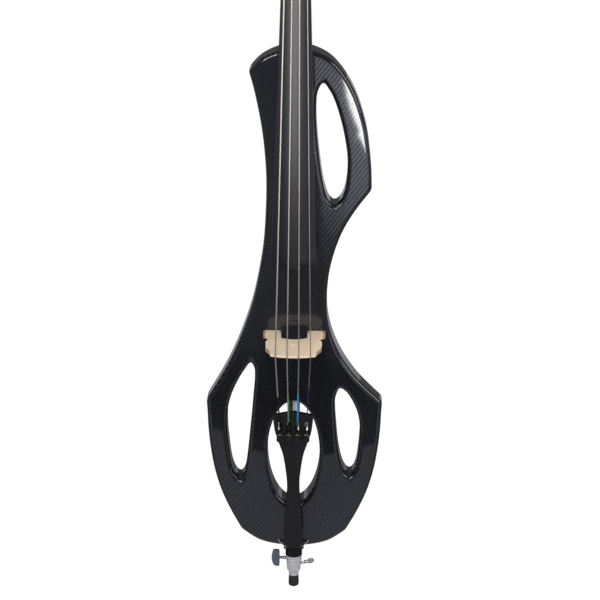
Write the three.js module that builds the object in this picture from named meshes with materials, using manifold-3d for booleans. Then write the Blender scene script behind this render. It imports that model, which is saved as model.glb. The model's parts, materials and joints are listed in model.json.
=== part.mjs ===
import * as THREE from 'three';
import { mergeVertices } from 'three/addons/utils/BufferGeometryUtils.js';
import Module from 'manifold-3d';

const wasm = await Module();
wasm.setup();

// An electric cello standing upright on its endpin. Millimetres, X to the right as seen from the
// front, Z up, the strings face -Y. The origin is the middle of the rubber tip's flat underside,
// and the endpin's axis is the line X = Y = 0.

// Clearances and cutters
const fit = 0.3;
const running = 0.35;
const overrun = 40;

// Body slab: overall sizes, rounded rims, and how far the wings fall away from the raised middle
const bodyBottom = 73;
const bodyHeight = 746;
const bodyHalfWidth = 127;
const bodyFront = 23;
const bodyBack = 23;
const rimRadius = 6;
const cornerTrim = 5;

// Outline of the body: shares of the half width and of the height above the bottom
const bottomShares = [[0.598, 0.034], [0.402, 0.012], [0.213, 0.003], [0, 0]];
const lowerSideShares = [
  [0.598, 0.034], [0.72, 0.071], [0.832, 0.113], [0.908, 0.156],
  [0.953, 0.198], [0.98, 0.24], [0.992, 0.281], [1, 0.301],
];
const rightWaistShares = [
  [1, 0.301], [0.882, 0.32], [0.702, 0.352], [0.538, 0.393], [0.43, 0.434], [0.371, 0.475],
  [0.361, 0.502], [0.363, 0.528], [0.388, 0.568], [0.446, 0.608], [0.536, 0.648],
  [0.673, 0.687], [0.848, 0.726],
];
const topShares = [
  [0.848, 0.726], [0.839, 0.766], [0.819, 0.801], [0.787, 0.84], [0.735, 0.875], [0.655, 0.913],
  [0.528, 0.951], [0.369, 0.98], [0.183, 0.995], [0, 1], [-0.188, 0.994], [-0.374, 0.979],
  [-0.516, 0.955],
];
const leftFlankShares = [
  [-0.516, 0.955], [-0.455, 0.918], [-0.367, 0.841], [-0.324, 0.764], [-0.324, 0.696],
  [-0.355, 0.616], [-0.433, 0.535], [-0.491, 0.494], [-0.569, 0.4525], [-0.661, 0.411],
  [-0.775, 0.369], [-1, 0.301],
];

// Openings through the body, in the same shares
const upperHoleShares = [
  [0.302, 0.933], [0.374, 0.918], [0.428, 0.899], [0.498, 0.861], [0.547, 0.823],
  [0.575, 0.784], [0.564, 0.744], [0.538, 0.722], [0.494, 0.706], [0.433, 0.6985],
  [0.378, 0.7055], [0.337, 0.722], [0.307, 0.743], [0.286, 0.764], [0.257, 0.803],
  [0.236, 0.841], [0.226, 0.88], [0.244, 0.918],
];
const leftHoleShares = [
  [-0.492, 0.381], [-0.575, 0.363], [-0.643, 0.342], [-0.698, 0.321], [-0.737, 0.3],
  [-0.76, 0.279], [-0.765, 0.258], [-0.762, 0.237], [-0.751, 0.215], [-0.736, 0.191],
  [-0.71, 0.165], [-0.668, 0.147], [-0.618, 0.1395], [-0.574, 0.1475], [-0.541, 0.176],
  [-0.518, 0.214], [-0.503, 0.24], [-0.48, 0.281], [-0.46, 0.323], [-0.447, 0.352],
  [-0.454, 0.371],
];
const rightHoleShares = [
  [0.516, 0.33], [0.475, 0.316], [0.462, 0.302], [0.463, 0.283], [0.47, 0.262],
  [0.481, 0.241], [0.492, 0.22], [0.509, 0.198], [0.538, 0.1745], [0.58, 0.156],
  [0.632, 0.1485], [0.679, 0.155], [0.713, 0.173], [0.732, 0.197], [0.743, 0.22],
  [0.748, 0.241], [0.741, 0.262], [0.713, 0.283], [0.66, 0.304], [0.587, 0.323],
];
const ovalMiddleShares = [-0.0063, 0.1953];
const ovalHalfShares = [0.2992, 0.1079];

// Folds between the raised middle and the wings: height share, left and right width shares, and
// how much the front and the back fall for each millimetre beyond the fold
const foldShares = [
  [1, -0.197, 0.189, 0.12, 0.11],
  [0.84, -0.22, 0.213, 0.12, 0.11],
  [0.706, -0.248, 0.252, 0.12, 0.11],
  [0.579, -0.268, 0.323, 0.12, 0.1],
  [0.492, -0.319, 0.346, 0.12, 0.08],
  [0.412, -0.394, 0.354, 0.12, 0.06],
  [0.318, -0.457, 0.433, 0.12, 0.06],
  [0.237, -0.5, 0.469, 0.12, 0.06],
  [0.17, -0.543, 0.543, 0.12, 0.06],
  [0, -0.598, 0.591, 0.12, 0.06],
];

// Strings, bridge and fingerboard
const stringLength = 690;
const bridgeZ = 400.5;
const bridgeHeight = 90;
const neckPitch = THREE.MathUtils.degToRad(9);
const crownRadius = 86;
const stringNames = ['C', 'G', 'D', 'A'];
const stringRadii = [1, 0.85, 0.75, 0.65];
const bridgeSpread = 49;
const nutSpread = 25.2;
const boardEnd = 123;
const boardEndHalfWidth = 31.8;
const boardNutHalfWidth = 15.3;
const boardEndClearance = 6.3;
const boardNutClearance = 1;
const boardSide = 6.5;
const nutLength = 6.5;

// Bridge: feet, legs, knees and crown
const footHalfSpan = 44.2;
const footInner = 18.7;
const footTip = 7;
const ankleX = 37;
const ankleHeight = 15;
const hookX = 40.2;
const hookHeight = 40;
const notchX = 37.2;
const notchHeight = 44;
const kneeX = 39.2;
const kneeLow = 47;
const kneeHigh = 64;
const shoulderX = 33;
const shoulderHeight = 76;
const crownHalfWidth = 31.5;
const archSide = 26;
const archMiddle = 31.5;
const heartHalfWidth = 8;
const heartLow = 49;
const heartHigh = 60;
const kidneyX = 21.5;
const kidneyHeight = 45;
const kidneyHalfWidth = 5;
const kidneyHalfHeight = 2.6;
const bridgeFootThickness = 10;
const bridgeCrownThickness = 3.2;
const pickupThickness = 2.2;

// Neck, heel and head
const neckNutDepth = 19;
const neckHeelDepth = 24;
const neckSquareness = 0.8;
const heelHalfWidth = 21;
const pocketLength = 74;
const pocketFloor = 5;
const heelToeDrop = 90;
const heelToeBoard = 212;
const heelRise = 6;
const headHalfWidth = 15.2;
const pegboxLean = THREE.MathUtils.degToRad(12);
const pegboxLength = 118;
const pegboxNutDepth = 32;
const pegboxTopDepth = 25;
const pegboxWall = 5;
const pegboxFloor = 5;
const pegboxSlotStart = 3;
const scrollRadius = 27;
const scrollStep = 7.5;
const scrollInset = 7;
const pegPlaces = [22, 74, 100, 48];
const pegRadius = 6.6;
const pegTipRadius = 5.9;
const pegTipReach = 2;
const pegCollarRadius = 9;
const pegCollarLength = 4;
const pegCollarGap = 3;
const pegHeadLength = 30;
const pegHeadWidth = 24;
const pegHeadThickness = 9;
const pegStringInset = 4;

// Tailpiece with its fine tuners
const tailBottomZ = 79;
const tailBottomHeight = 20;
const tailTopZ = 307;
const tailTopHeight = 62;
const tailThickness = 8;
const tailEdge = 1.5;
const tailHalfWidth = 29.4;
const tailOutlineShares = [
  [0.3, 0.003], [0.42, 0.035], [0.47, 0.09], [0.42, 0.215], [0.364, 0.336], [0.3, 0.47],
  [0.374, 0.586], [0.503, 0.694], [0.71, 0.784], [0.885, 0.862], [0.98, 0.974],
];
const tunerSpacing = 12.6;
const tunerSlotLow = 199.5;
const tunerSlotHigh = 215;
const tunerSlotWidth = 5;
const tunerScrewAt = 192;
const tunerBushRadius = 3.9;
const tunerBushProud = 3;
const tunerKnobRadius = 4.7;
const tunerKnobHeight = 6.5;
const tunerShaftRadius = 1.9;
const leverWidth = 3.8;
const leverThickness = 4.5;
const leverPivotAt = 206;
const leverReach = 18;
const leverHook = 2.6;

// Tailgut and saddle
const gutRadius = 1.1;
const gutX = 6.2;
const gutHoleDepth = 18;
const saddleHalfWidth = 23;
const saddleFootHalfWidth = 13;
const saddleHeight = 9.5;
const saddleDepth = 8;
const saddleRise = 6;

// Endpin: plug, sleeve, collar, screws, rod and tip
const tipHeight = 17.5;
const tipRadius = 7.75;
const tipTopRadius = 7.1;
const tipShoulderRadius = 7.2;
const tipFlatRadius = 5;
const tipSocketDepth = 13;
const rodRadius = 5;
const rodTop = 425;
const collarTop = 49.8;
const collarTopRadius = 11.6;
const collarBandHeight = 9;
const collarWaistRadius = 10.9;
const collarLowRadius = 9.8;
const collarLowZ = 26.5;
const collarNoseRadius = 7.3;
const plugFlangeRadius = 12.3;
const plugRadius = 11;
const plugTop = 120;
const sleeveRadius = 8;
const sleeveTop = 318;
const wingAxisZ = 44.5;
const wingInner = 21;
const wingOuter = 33;
const wingHalfHeight = 13;
const wingThickness = 7;
const wingShares = [
  [0.64, -1], [0.89, -0.55], [1, -0.1], [0.97, 0.3], [0.78, 1], [0, 0.95], [0, -1],
];
const wingShaftRadius = 2;
const clampAxisZ = 33.5;
const clampTilt = THREE.MathUtils.degToRad(14);
const clampShaftRadius = 2;
const clampNeck = 19.5;
const clampReach = 31;
const clampHeadHalfHeight = 3.8;
const clampHeadThickness = 3;

// Rear control bay
const bayBottom = 448;
const doorTop = 479.7;
const bayTop = 580;
const bayHalfWidth = 31;
const plateThickness = 2;
const bayLedge = 5;
const bayDepth = 23;
const doorRelief = 2.5;
const batteryWidth = 48.5;
const batteryHeight = 26.5;
const batteryDepth = 17.5;
const boardThickness = 1.6;
const preampHalfWidth = 22;
const preampBottom = 486;
const preampTop = 570;
const potRadius = 8;
const potShaftRadius = 3;
const potX = 14;
const potZ = 553;
const knobRadius = 9.5;
const knobTopRadius = 8.8;
const knobHeight = 9;
const jackZ = 508;
const jackRadius = 7.6;
const controlDepth = 13;
const jackNoseRadius = 4.7;
const jackBoreRadius = 3.3;
const jackNutRadius = 7;
const jackNutThickness = 2.4;
const coverScrewRadius = 2.7;
const coverScrewCrownRadius = 1.9;
const coverScrewShank = 1.3;
const coverScrewLength = 9;
const coverScrewInset = 2.7;
const coverScrewRise = 5;
const boltDepths = [54, 19];
const boltRadius = 3;
const boltHeadRadius = 6;
const boltHeadHeight = 6;
const boltSink = 7.5;
const boltReachShare = 0.53;
const boltSocketRadius = 2.6;
const boltSocketDepth = 3.5;

// Materials
function finish(color, roughness, metalness) {
  return new THREE.MeshStandardMaterial({ color, roughness, metalness });
}
const carbon = finish(0x15161a, 0.15, 0.1);
const matteBlack = finish(0x1f1f20, 0.6, 0);
const boardBlack = finish(0x3a3940, 0.55, 0);
const maple = finish(0xd6c3ac, 0.6, 0);
const steel = finish(0xb9b7b2, 0.25, 1);
const chrome = finish(0xd8d8dc, 0.12, 1);
const aluminium = finish(0xb4b4ba, 0.35, 1);
const brass = finish(0xb08d57, 0.35, 1);
const rubber = finish(0x18181a, 0.85, 0);
const bluePlastic = finish(0x4f5b70, 0.5, 0);
const boneWhite = finish(0xe6e0d0, 0.5, 0);
const circuitGreen = finish(0x1d5a3a, 0.5, 0);
const batteryGrey = finish(0x55585e, 0.4, 0.3);

// Solids in and out of the boolean library
function indexed(geometry) {
  const bare = geometry.clone();
  bare.deleteAttribute('normal');
  bare.deleteAttribute('uv');
  return mergeVertices(bare);
}

function outward(geometry) {
  const place = geometry.getAttribute('position');
  const index = geometry.getIndex().array;
  const corner = [new THREE.Vector3(), new THREE.Vector3(), new THREE.Vector3()];
  let volume = 0;
  for (let i = 0; i < index.length; i += 3) {
    corner.forEach((point, k) => point.fromBufferAttribute(place, index[i + k]));
    volume += corner[0].dot(corner[1].cross(corner[2]));
  }
  if (volume < 0) {
    for (let i = 0; i < index.length; i += 3) {
      [index[i], index[i + 1]] = [index[i + 1], index[i]];
    }
  }
  return geometry;
}

function solid(geometry) {
  const tidy = outward(indexed(geometry));
  return new wasm.Manifold(new wasm.Mesh({
    numProp: 3,
    vertProperties: new Float32Array(tidy.getAttribute('position').array),
    triVerts: new Uint32Array(tidy.getIndex().array),
  }));
}

function geometryOf(manifold) {
  const mesh = manifold.getMesh();
  const geometry = new THREE.BufferGeometry();
  geometry.setAttribute('position', new THREE.BufferAttribute(mesh.vertProperties, 3));
  geometry.setIndex(new THREE.BufferAttribute(mesh.triVerts, 1));
  return geometry;
}

function cut(geometry, ...tools) {
  return geometryOf(tools.reduce((rest, tool) => rest.subtract(solid(tool)), solid(geometry)));
}

function common(geometry, other) {
  return geometryOf(solid(geometry).intersect(solid(other)));
}

function join(geometry, ...others) {
  return geometryOf(others.reduce((sum, other) => sum.add(solid(other)), solid(geometry)));
}

// Basic shapes
function block(x0, x1, y0, y1, z0, z1) {
  const box = new THREE.BoxGeometry(x1 - x0, y1 - y0, z1 - z0);
  return box.translate((x0 + x1) / 2, (y0 + y1) / 2, (z0 + z1) / 2);
}

function turned(profile, sides) {
  const points = profile.map(([radius, z]) => new THREE.Vector2(radius, z));
  return outward(indexed(new THREE.LatheGeometry(points, sides).rotateX(Math.PI / 2)));
}

function alongX(geometry) {
  return geometry.rotateY(Math.PI / 2);
}

function alongY(geometry) {
  return geometry.rotateX(-Math.PI / 2);
}

function pin(radius, from, to, sides) {
  return turned([[0, from], [radius, from], [radius, to], [0, to]], sides);
}

function loft(sections) {
  const count = sections[0].length;
  const places = sections.flat().flatMap((point) => [point.x, point.y, point.z]);
  const faces = [];
  for (let i = 0; i < sections.length - 1; i += 1) {
    for (let k = 0; k < count; k += 1) {
      const a = i * count + k;
      const b = i * count + ((k + 1) % count);
      faces.push(a, b, b + count, a, b + count, a + count);
    }
  }
  const last = (sections.length - 1) * count;
  for (let k = 1; k < count - 1; k += 1) {
    faces.push(0, k + 1, k, last, last + k, last + k + 1);
  }
  const geometry = new THREE.BufferGeometry();
  geometry.setAttribute('position', new THREE.Float32BufferAttribute(places, 3));
  geometry.setIndex(faces);
  return outward(geometry);
}

function tube(path, radius, sides) {
  const side = new THREE.Vector3(1, 0, 0);
  const sections = path.map((point, i) => {
    const before = path[Math.max(i - 1, 0)];
    const after = path[Math.min(i + 1, path.length - 1)];
    const forward = after.clone().sub(before).normalize();
    side.addScaledVector(forward, -side.dot(forward)).normalize();
    const other = forward.clone().cross(side);
    return ring(sides, (cosine, sine) => point.clone()
      .addScaledVector(side, radius * cosine)
      .addScaledVector(other, radius * sine));
  });
  return loft(sections);
}

function ring(sides, pointAt) {
  return Array.from({ length: sides }, (_, k) => {
    const angle = (k / sides) * 2 * Math.PI;
    return pointAt(Math.cos(angle), Math.sin(angle));
  });
}

// A flat outline in X and Z, given thickness from y0 to y1
function plate(shape, y0, y1, curveSegments) {
  const flat = new THREE.ExtrudeGeometry(shape, {
    depth: y1 - y0, bevelEnabled: false, curveSegments,
  });
  return flat.rotateX(Math.PI / 2).translate(0, y1, 0);
}

function spline(points, count, closed) {
  const flat = points.map(([x, z]) => new THREE.Vector3(x, 0, z));
  const curve = new THREE.CatmullRomCurve3(flat, closed, 'centripetal');
  return curve.getPoints(count).map((point) => new THREE.Vector2(point.x, point.z));
}

const assembly = new THREE.Group();

function add(name, geometry, material, parent = assembly) {
  const mesh = new THREE.Mesh(geometry, material);
  mesh.name = name;
  parent.add(mesh);
  return mesh;
}

// Frames that lean with the strings and with the tailpiece. In the neck frame y is the depth
// behind the strings and z is the distance from the bridge towards the head.
const neckFrame = new THREE.Group();
neckFrame.position.set(0, -bodyFront - bridgeHeight, bridgeZ);
neckFrame.rotation.x = -neckPitch;
neckFrame.updateMatrixWorld();
assembly.add(neckFrame);

const tailFrame = new THREE.Group();
const tailPitch = Math.atan2(tailTopHeight - tailBottomHeight, tailTopZ - tailBottomZ);
const tailLength = Math.hypot(tailTopHeight - tailBottomHeight, tailTopZ - tailBottomZ);
tailFrame.position.set(0, -bodyFront - tailBottomHeight, tailBottomZ);
tailFrame.rotation.x = tailPitch;
tailFrame.updateMatrixWorld();
assembly.add(tailFrame);

const neckToWorld = neckFrame.matrixWorld;
const worldToNeck = neckToWorld.clone().invert();
const boardLength = stringLength - fit - boardEnd;

function stretchAlongBoard(atEnd, atNut, distance) {
  return THREE.MathUtils.lerp(atEnd, atNut, (distance - boardEnd) / boardLength);
}
function boardHalfWidth(distance) {
  return stretchAlongBoard(boardEndHalfWidth, boardNutHalfWidth, distance);
}
function boardClearance(distance) {
  return stretchAlongBoard(boardEndClearance, boardNutClearance, distance);
}
function crownFall(x) {
  return crownRadius - Math.sqrt(crownRadius ** 2 - x ** 2);
}
function boardUnderside(distance) {
  const endDepth = boardEndClearance + crownFall(boardEndHalfWidth) + boardSide;
  const nutDepth = boardNutClearance + crownFall(boardNutHalfWidth) + boardSide;
  return stretchAlongBoard(endDepth, nutDepth, distance);
}

const bodyTop = bodyBottom + bodyHeight;
const pocketBottom = bodyTop - pocketLength;
const heelToe = pocketBottom - heelToeDrop;
const boltPlaces = boltDepths.map((depth) => bodyTop - depth);

// Body: an outline with rounded rims, creased along the folds and warped so the wings fall away
function bodyPoint([xShare, zShare]) {
  return [xShare * bodyHalfWidth, bodyBottom + zShare * bodyHeight];
}

function foldAt(z, column) {
  const share = (z - bodyBottom) / bodyHeight;
  const last = foldShares.length - 2;
  const found = foldShares.findIndex((row, i) => i <= last && share >= foldShares[i + 1][0]);
  const i = found < 0 ? last : found;
  const [upper, lower] = [foldShares[i], foldShares[i + 1]];
  const along = (share - lower[0]) / (upper[0] - lower[0]);
  return THREE.MathUtils.lerp(lower[column], upper[column], along);
}

function beyondFold(x, z) {
  return Math.max(0, foldAt(z, 1) * bodyHalfWidth - x, x - foldAt(z, 2) * bodyHalfWidth);
}

function bodyOutline() {
  const mirror = ([x, z]) => [-x, z];
  const stretches = [
    [[...bottomShares].reverse(), 6],
    [lowerSideShares, 14],
    [rightWaistShares, 20],
    [topShares, 24],
    [leftFlankShares, 22],
    [lowerSideShares.map(mirror).reverse(), 14],
    [bottomShares.map(mirror), 6],
  ].map(([shares, count]) => spline(shares.map(bodyPoint), count, false));
  const outline = [];
  stretches.forEach((stretch, i) => {
    const start = stretch[0];
    const end = stretch[stretch.length - 1];
    const sharpStart = i > 0;
    const sharpEnd = i < stretches.length - 1;
    const kept = stretch.filter((point) => (!sharpStart || point.distanceTo(start) > cornerTrim)
      && (!sharpEnd || point.distanceTo(end) > cornerTrim));
    const towards = (corner, point) => corner.clone().lerp(
      point, cornerTrim / corner.distanceTo(point),
    );
    if (sharpStart) {
      const into = towards(start, kept[0]);
      const previous = outline[outline.length - 1];
      const corner = new THREE.QuadraticBezierCurve(previous, start, into).getPoints(3);
      outline.push(...corner.slice(1));
    }
    outline.push(...kept);
    if (sharpEnd) {
      outline.push(towards(end, kept[kept.length - 1]));
    }
  });
  return outline.slice(0, -1);
}

function splitMesh(mesh, field) {
  const snap = fit / 10;
  const values = mesh.points.map((point) => {
    const value = field(point);
    return Math.abs(value) < snap ? 0 : value;
  });
  const points = [...mesh.points];
  const crossings = new Map();
  const crossing = (a, b) => {
    const key = a < b ? `${a} ${b}` : `${b} ${a}`;
    if (!crossings.has(key)) {
      const [low, high] = a < b ? [a, b] : [b, a];
      const along = values[low] / (values[low] - values[high]);
      crossings.set(key, points.push(points[low].clone().lerp(points[high], along)) - 1);
    }
    return crossings.get(key);
  };
  const faces = [];
  mesh.faces.forEach((face) => {
    const sides = [-1, 1].map((sign) => {
      const polygon = [];
      face.forEach((a, k) => {
        const b = face[(k + 1) % 3];
        if (values[a] * sign >= 0) {
          polygon.push(a);
        }
        if (values[a] * values[b] < 0) {
          polygon.push(crossing(a, b));
        }
      });
      return polygon;
    });
    const whole = sides.find((polygon) => polygon.length === 3
      && polygon.every((a) => face.includes(a)));
    const parts = whole ? [face] : sides;
    parts.filter((polygon) => polygon.length > 2).forEach((polygon) => {
      for (let k = 1; k < polygon.length - 1; k += 1) {
        faces.push([polygon[0], polygon[k], polygon[k + 1]]);
      }
    });
  });
  return { points, faces };
}

function bodySlab() {
  const shape = new THREE.Shape(bodyOutline());
  const holes = [
    [upperHoleShares, 32],
    [leftHoleShares, 32],
    [rightHoleShares, 28],
  ].map(([shares, count]) => spline(shares.map(bodyPoint), count, true).slice(0, -1));
  holes.push(ring(32, (cosine, sine) => new THREE.Vector2(...bodyPoint([
    ovalMiddleShares[0] + ovalHalfShares[0] * cosine,
    ovalMiddleShares[1] + ovalHalfShares[1] * sine,
  ]))));
  shape.holes = holes.map((points) => new THREE.Path(points));
  const thickness = bodyFront + bodyBack;
  const flat = indexed(new THREE.ExtrudeGeometry(shape, {
    depth: thickness - 2 * rimRadius,
    bevelThickness: rimRadius,
    bevelSize: rimRadius,
    bevelOffset: -rimRadius,
    bevelSegments: 2,
  }));
  const place = flat.getAttribute('position');
  const index = [...flat.getIndex().array];
  let mesh = {
    points: Array.from({ length: place.count }, (_, i) => (
      new THREE.Vector3().fromBufferAttribute(place, i))),
    faces: Array.from({ length: index.length / 3 }, (_, i) => index.slice(3 * i, 3 * i + 3)),
  };
  foldShares.slice(1, -1).forEach(([share]) => {
    mesh = splitMesh(mesh, (point) => point.y - bodyBottom - share * bodyHeight);
  });
  [1, 2].forEach((column) => {
    mesh = splitMesh(mesh, (point) => point.x - foldAt(point.y, column) * bodyHalfWidth);
  });
  const warped = mesh.points.map((point) => {
    const beyond = beyondFold(point.x, point.y);
    const fromBack = point.z + rimRadius;
    const fromFront = thickness - fromBack;
    const front = foldAt(point.y, 3) * beyond - bodyFront + fromFront;
    const back = bodyBack - foldAt(point.y, 4) * beyond - fromBack;
    return new THREE.Vector3(point.x, fromFront < fromBack ? front : back, point.y);
  });
  const geometry = new THREE.BufferGeometry().setFromPoints(warped);
  geometry.setIndex(mesh.faces.flat());
  return outward(geometry);
}

const bayRebateFloor = bodyBack - plateThickness - fit;
const bayInner = bayHalfWidth - bayLedge;
const plateBottom = doorTop + fit;
const coverScrews = [-1, 1].flatMap((side) => [plateBottom + coverScrewRise, bayTop - coverScrewRise]
  .map((z) => [side * (bayHalfWidth - coverScrewInset), z]));
const screwPilot = coverScrewShank + fit;
const pickupHalfLength = (footHalfSpan - footInner) / 2 - fit;
const pickupX = (footHalfSpan + footInner) / 2;
const bridgeLow = bridgeZ - bridgeCrownThickness / 2;
const bridgeHighFoot = bridgeLow + bridgeFootThickness;

// The saddle narrows downwards, and its seat in the body is the same outline with clearance
const saddleFoot = bodyBottom + rimRadius / 4;
const saddleTop = saddleFoot + saddleHeight;

function saddleShape(gap, below) {
  const side = [
    [saddleHalfWidth + 2 * gap, saddleTop + gap], [saddleFootHalfWidth + gap, saddleFoot],
    [saddleFootHalfWidth + gap, saddleFoot - below],
  ];
  const mirror = side.map(([x, z]) => [-x, z]).reverse();
  return new THREE.Shape([...side, ...mirror].map(([x, z]) => new THREE.Vector2(x, z)));
}

function body() {
  const pickupPockets = [-1, 1].map((side) => block(
    side * pickupX - pickupHalfLength - fit, side * pickupX + pickupHalfLength + fit,
    -bodyFront - overrun, -bodyFront + pickupThickness + fit,
    bridgeLow, bridgeHighFoot,
  ));
  const screwHoles = coverScrews.map(([x, z]) => alongY(
    pin(screwPilot, bayRebateFloor - coverScrewLength, bayRebateFloor + overrun, 8),
  ).translate(x, 0, z));
  const boltHoles = boltPlaces.flatMap((z) => [
    alongY(pin(boltRadius + fit, -bodyFront, bodyBack + overrun, 16)).translate(0, 0, z),
    alongY(pin(boltHeadRadius + fit, bodyBack - boltSink, bodyBack + overrun, 20))
      .translate(0, 0, z),
  ]);
  return cut(
    bodySlab(),
    pin(plugRadius + fit, bodyBottom - overrun, plugTop + fit, 24),
    pin(sleeveRadius + fit, bodyBottom, sleeveTop + fit, 20),
    pin(rodRadius + 2 * running, bodyBottom, rodTop + overrun / 4, 16),
    block(
      -heelHalfWidth - fit, heelHalfWidth + fit, -bodyFront - overrun, -pocketFloor + fit,
      pocketBottom - fit, bodyBottom + bodyHeight + overrun,
    ),
    plate(
      saddleShape(fit, overrun), -bodyFront - overrun, -bodyFront + saddleDepth + fit, 1,
    ),
    block(
      -bayHalfWidth - fit, bayHalfWidth + fit, bayRebateFloor, bodyBack + overrun,
      bayBottom - doorRelief, bayTop + fit,
    ),
    block(
      -bayInner, bayInner, bodyBack - bayDepth, bodyBack + overrun,
      bayBottom + bayLedge - fit, bayTop - bayLedge,
    ),
    ...pickupPockets,
    ...screwHoles,
    ...boltHoles,
  );
}
add('body', body(), carbon);

// Bridge: a standing plate with feet, side hooks, heart and kidneys, thinner towards the crown
function bridge() {
  const half = (side) => [
    [side * footInner, 0], [side * footHalfSpan, 0], [side * footHalfSpan, footTip],
    [side * (ankleX + footTip / 2), footTip + footTip / 3], [side * ankleX, ankleHeight],
    [side * ankleX, hookHeight - footTip], [side * hookX, hookHeight],
    [side * notchX, notchHeight], [side * kneeX, kneeLow], [side * kneeX, kneeHigh],
    [side * shoulderX, shoulderHeight],
    [side * crownHalfWidth, bridgeHeight - crownFall(crownHalfWidth)],
  ];
  const crown = [2, 1, 0, -1, -2].map((step) => {
    const x = (step / 3) * crownHalfWidth;
    return [x, bridgeHeight - crownFall(x)];
  });
  const arch = [-3, -2, -1, 0, 1, 2, 3].map((step) => {
    const share = step / 3;
    return [share * footInner, archMiddle - (archMiddle - archSide) * share ** 2];
  });
  const outline = [...half(1), ...crown, ...half(-1).reverse(), ...arch];
  const shape = new THREE.Shape(outline.map(([x, h]) => new THREE.Vector2(x, h)));
  const heart = ring(12, (cosine, sine) => new THREE.Vector2(
    heartHalfWidth * cosine,
    (heartLow + heartHigh) / 2 + ((heartHigh - heartLow) / 2) * (sine - Math.abs(cosine) / 3),
  ));
  const kidneys = [-1, 1].map((side) => ring(10, (cosine, sine) => new THREE.Vector2(
    side * kidneyX + kidneyHalfWidth * cosine, kidneyHeight + kidneyHalfHeight * sine,
  )));
  shape.holes = [heart, ...kidneys].map((points) => new THREE.Path(points));
  const flat = new THREE.ExtrudeGeometry(shape, {
    depth: bridgeFootThickness, bevelEnabled: false,
  });
  const place = flat.getAttribute('position');
  for (let i = 0; i < place.count; i += 1) {
    const height = place.getY(i);
    const upper = place.getZ(i) > bridgeFootThickness / 2;
    const thickness = THREE.MathUtils.lerp(
      bridgeFootThickness, bridgeCrownThickness, height / bridgeHeight,
    );
    place.setXYZ(i, place.getX(i), -bodyFront - fit - height * (1 - fit / bridgeHeight),
      bridgeLow + (upper ? thickness : 0));
  }
  return outward(indexed(flat));
}
add('bridge', bridge(), maple);

[['bass', -1], ['treble', 1]].forEach(([name, side]) => {
  const pad = block(
    side * pickupX - pickupHalfLength, side * pickupX + pickupHalfLength,
    -bodyFront, -bodyFront + pickupThickness,
    bridgeLow + fit, bridgeHighFoot - fit,
  );
  add(`pickup_${name}`, pad, matteBlack);
});

// Fingerboard: flat below, crowned above, wider towards the bridge
function boardSection(distance) {
  const halfWidth = boardHalfWidth(distance);
  const top = boardClearance(distance);
  const under = boardUnderside(distance);
  const crown = [-4, -3, -2, -1, 0, 1, 2, 3, 4].map((step) => {
    const x = (step / 4) * halfWidth;
    return new THREE.Vector3(x, top + crownFall(x), distance);
  });
  return [
    new THREE.Vector3(-halfWidth, under, distance), ...crown,
    new THREE.Vector3(halfWidth, under, distance),
  ];
}
const boardStations = [0, 1, 2, 3, 4].map((step) => boardEnd + (step / 4) * boardLength);
add('fingerboard', loft(boardStations.map(boardSection)), boardBlack, neckFrame);

function nut() {
  const section = (distance) => {
    const crown = [-2, -1, 0, 1, 2].map((step) => {
      const x = (step / 2) * boardNutHalfWidth;
      return new THREE.Vector3(x, crownFall(x), distance);
    });
    const under = boardUnderside(stringLength);
    return [
      new THREE.Vector3(-boardNutHalfWidth, under, distance), ...crown,
      new THREE.Vector3(boardNutHalfWidth, under, distance),
    ];
  };
  return loft([section(stringLength), section(stringLength + nutLength)]);
}
add('nut', nut(), matteBlack, neckFrame);

// Neck: a round-bellied handle, a heel that sits in the body's pocket, and the head
const headStart = stringLength + nutLength;
const headFront = boardUnderside(stringLength) + fit;

function neckSection(distance) {
  const halfWidth = boardHalfWidth(distance);
  const top = boardUnderside(distance) + fit;
  const depth = stretchAlongBoard(neckHeelDepth, neckNutDepth, distance);
  return Array.from({ length: 15 }, (_, k) => {
    const angle = (k / 14) * Math.PI;
    const cosine = Math.cos(angle);
    const x = halfWidth * Math.sign(cosine) * Math.abs(cosine) ** neckSquareness;
    return new THREE.Vector3(x, top + depth * Math.sin(angle) ** neckSquareness, distance);
  });
}

function sideProfile(points, halfWidth) {
  const shape = new THREE.Shape(points.map((point) => new THREE.Vector2(point.y, point.z)));
  const flat = new THREE.ExtrudeGeometry(shape, { depth: 2 * halfWidth, bevelEnabled: false });
  const swap = new THREE.Matrix4().makeBasis(
    new THREE.Vector3(0, 1, 0), new THREE.Vector3(0, 0, 1), new THREE.Vector3(1, 0, 0),
  );
  return flat.applyMatrix4(swap).translate(-halfWidth, 0, 0);
}

function onBoardUnderside(distance) {
  return new THREE.Vector3(0, boardUnderside(distance) + fit, distance).applyMatrix4(neckToWorld);
}

const heelEnd = (bodyTop + 2 * heelRise - bridgeZ) / Math.cos(neckPitch);

function heel() {
  const rim = onBoardUnderside(heelEnd);
  const points = [
    new THREE.Vector3(0, -bodyFront - fit, heelToe),
    onBoardUnderside(heelToeBoard),
    rim,
    new THREE.Vector3(0, rim.y + neckHeelDepth / 2, rim.z),
    new THREE.Vector3(0, -pocketFloor, bodyTop - heelRise / 2),
    new THREE.Vector3(0, -pocketFloor, pocketBottom),
    new THREE.Vector3(0, -bodyFront - fit, pocketBottom),
  ];
  const geometry = sideProfile(points, heelHalfWidth);
  return geometry.applyMatrix4(worldToNeck);
}

// The bolts end inside the neck, a share of the way from its seat to the fingerboard
const boltTop = onBoardUnderside((Math.max(...boltPlaces) - bridgeZ) / Math.cos(neckPitch));
const boltTip = THREE.MathUtils.lerp(-pocketFloor, boltTop.y, boltReachShare);

// Head: pegbox with an open slot and four peg holes, ending in a plain stepped scroll
const headFrame = new THREE.Matrix4().makeRotationX(-pegboxLean)
  .setPosition(0, headFront, headStart);

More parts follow.
